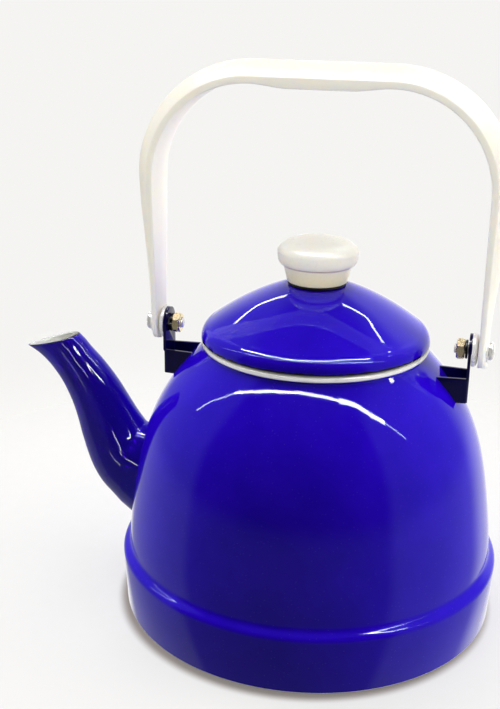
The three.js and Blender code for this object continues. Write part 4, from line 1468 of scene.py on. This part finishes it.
def make_world():
    world = bpy.data.worlds.new("room")
    bpy.context.scene.world = world
    world.use_nodes = True
    tree = world.node_tree
    tree.nodes.clear()
    direction = add(tree, "TexCoord").outputs["Generated"]
    level = vector_maths(tree, "NORMALIZE", vector_maths(tree, "MULTIPLY", direction, (1, 1, 0)))
    azimuth = math.radians(OPEN_AZIMUTH)
    axis = (math.sin(azimuth), -math.cos(azimuth), 0)
    facing = vector_maths(tree, "DOT_PRODUCT", level, axis, "Value")
    height = height_of(tree, direction)
    inner, outer = (math.cos(math.radians(a)) for a in OPEN_HALF_WIDTH)
    walls = spread(tree, facing, outer, inner, SIDE_LEVEL, FRONT_LEVEL, smooth=True)
    near, far = (math.cos(math.radians(a)) for a in BACK_HALF_WIDTH)
    behind = spread(tree, facing, near, far, smooth=True)
    behind = calculate(tree, "MULTIPLY", behind, spread(tree, height, *BACK_HIGH, 1.0, 0.0, smooth=True))
    walls = level_between(tree, behind, walls, BACK_LEVEL)
    low = spread(tree, height, *LOW_EDGE, LOW_LEVEL, 0.0, smooth=True)
    walls = calculate(tree, "ADD", walls, low)
    ceiling = spread(tree, height, *CEILING_EDGE, smooth=True)
    strength = level_between(tree, ceiling, walls, CEILING_LEVEL)
    to_camera = add(tree, "LightPath").outputs["Is Camera Ray"]
    room = add(tree, "Background", {"Color": opaque(ROOM), "Strength": strength}).outputs[0]
    backdrop = add(tree, "Background", {"Color": opaque(BACKDROP), "Strength": 1.0}).outputs[0]
    mixed = add(tree, "MixShader", {0: to_camera, 1: room, 2: backdrop}).outputs[0]
    add(tree, "OutputWorld", {"Surface": mixed})


def area_light(name, place, aim, along, size, power, spread_angle=FULL_SPREAD):
    """A rectangular lamp at a place, facing aim, with its first side along the given direction."""
    data = bpy.data.lights.new(name, "AREA")
    data.shape = "RECTANGLE"
    data.size, data.size_y = size
    data.energy = power
    data.spread = math.radians(spread_angle)
    lamp = linked(name, data)
    back = (Vector(place) - Vector(aim)).normalized()
    first = (along - back * along.dot(back)).normalized()
    lamp.matrix_world = standing(place, first, back.cross(first), back)
    lamp.visible_camera = False
    return lamp


def make_softboxes(softboxes, receivers=None):
    for name, (place, aim, width, height, power, spread_angle) in softboxes.items():
        level = Vector((0, 0, 1)).cross(Vector(place) - Vector(aim))
        lamp = area_light(name, place, aim, level, (width, height), power, spread_angle)
        lamp.visible_glossy = False
        lamp.light_linking.receiver_collection = receivers


def strip_point(centre, azimuth, elevation):
    azimuth, elevation = math.radians(azimuth), math.radians(elevation)
    level = math.cos(elevation)
    way = Vector((math.sin(azimuth) * level, -math.cos(azimuth) * level, math.sin(elevation)))
    return Vector(centre) + way * STRIP_DISTANCE


def make_strips(strips, centre, receivers=None):
    """Strips of lamps around a centre, which light only the receivers collection where one is given."""
    for name, (places, width, brightness) in strips.items():
        ways = [strip_point(centre, *place) for place in places]
        points = [Vector(point) for point in spline(ways, STRIP_STEPS * (len(ways) - 1))]
        across = STRIP_DISTANCE * math.radians(width)
        for i, (start, end) in enumerate(zip(points, points[1:])):
            along = end - start
            power = brightness * math.pi * along.length * across
            size = (along.length, across)
            lamp = area_light(f"{name}_{i}", (start + end) / 2, centre, along, size, power)
            lamp.visible_diffuse = False
            lamp.light_linking.receiver_collection = receivers


def collected(name, pieces):
    """A collection that lamps are linked to."""
    made = bpy.data.collections.new(name)
    for piece in pieces:
        made.objects.link(piece)
    return made


def corners(bounds):
    return [list(corner) for corner in bounds]


def main():
    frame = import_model()
    make_camera()
    paint = make_materials()
    make_body(paint)
    make_base_plate(paint)
    make_mouth_ring(paint)
    spout = make_spout(paint)
    make_lid(paint)
    make_skirt(paint)
    make_gasket(paint)
    make_knob(paint)
    make_bail(paint)
    for place, side in (("front", -1), ("rear", 1)):
        make_ear(paint, place, side)
        make_nut(paint, place, side)
        make_lock_washer(paint, place, side)
        make_domed_washer(paint, place, side)
        make_head_washer(paint, place, side)
        make_pivot_screw(paint, place, side)
    kept = {"knob_insert": "zinc", "knob_screw": "steel", "knob_screw_washer": "steel"}
    for node, material in kept.items():
        frame["nodes"][node].data.materials[0] = paint[material]
    make_floor()
    make_world()
    make_softboxes(SOFTBOXES)
    make_strips(STRIPS, STRIP_CENTRE)
    spout_only = collected("spout_only", [spout])
    make_strips(SPOUT_STRIPS, SPOUT_STRIP_CENTRE, spout_only)
    make_softboxes(MOUTH_SOFTBOXES, spout_only)
    pale = [piece for piece in bpy.data.objects if piece.name.endswith(PALE_ENDINGS)]
    make_softboxes(PALE_SOFTBOXES, collected("pale_pieces", pale))
    bpy.context.scene.view_settings.view_transform = "Standard"


main()
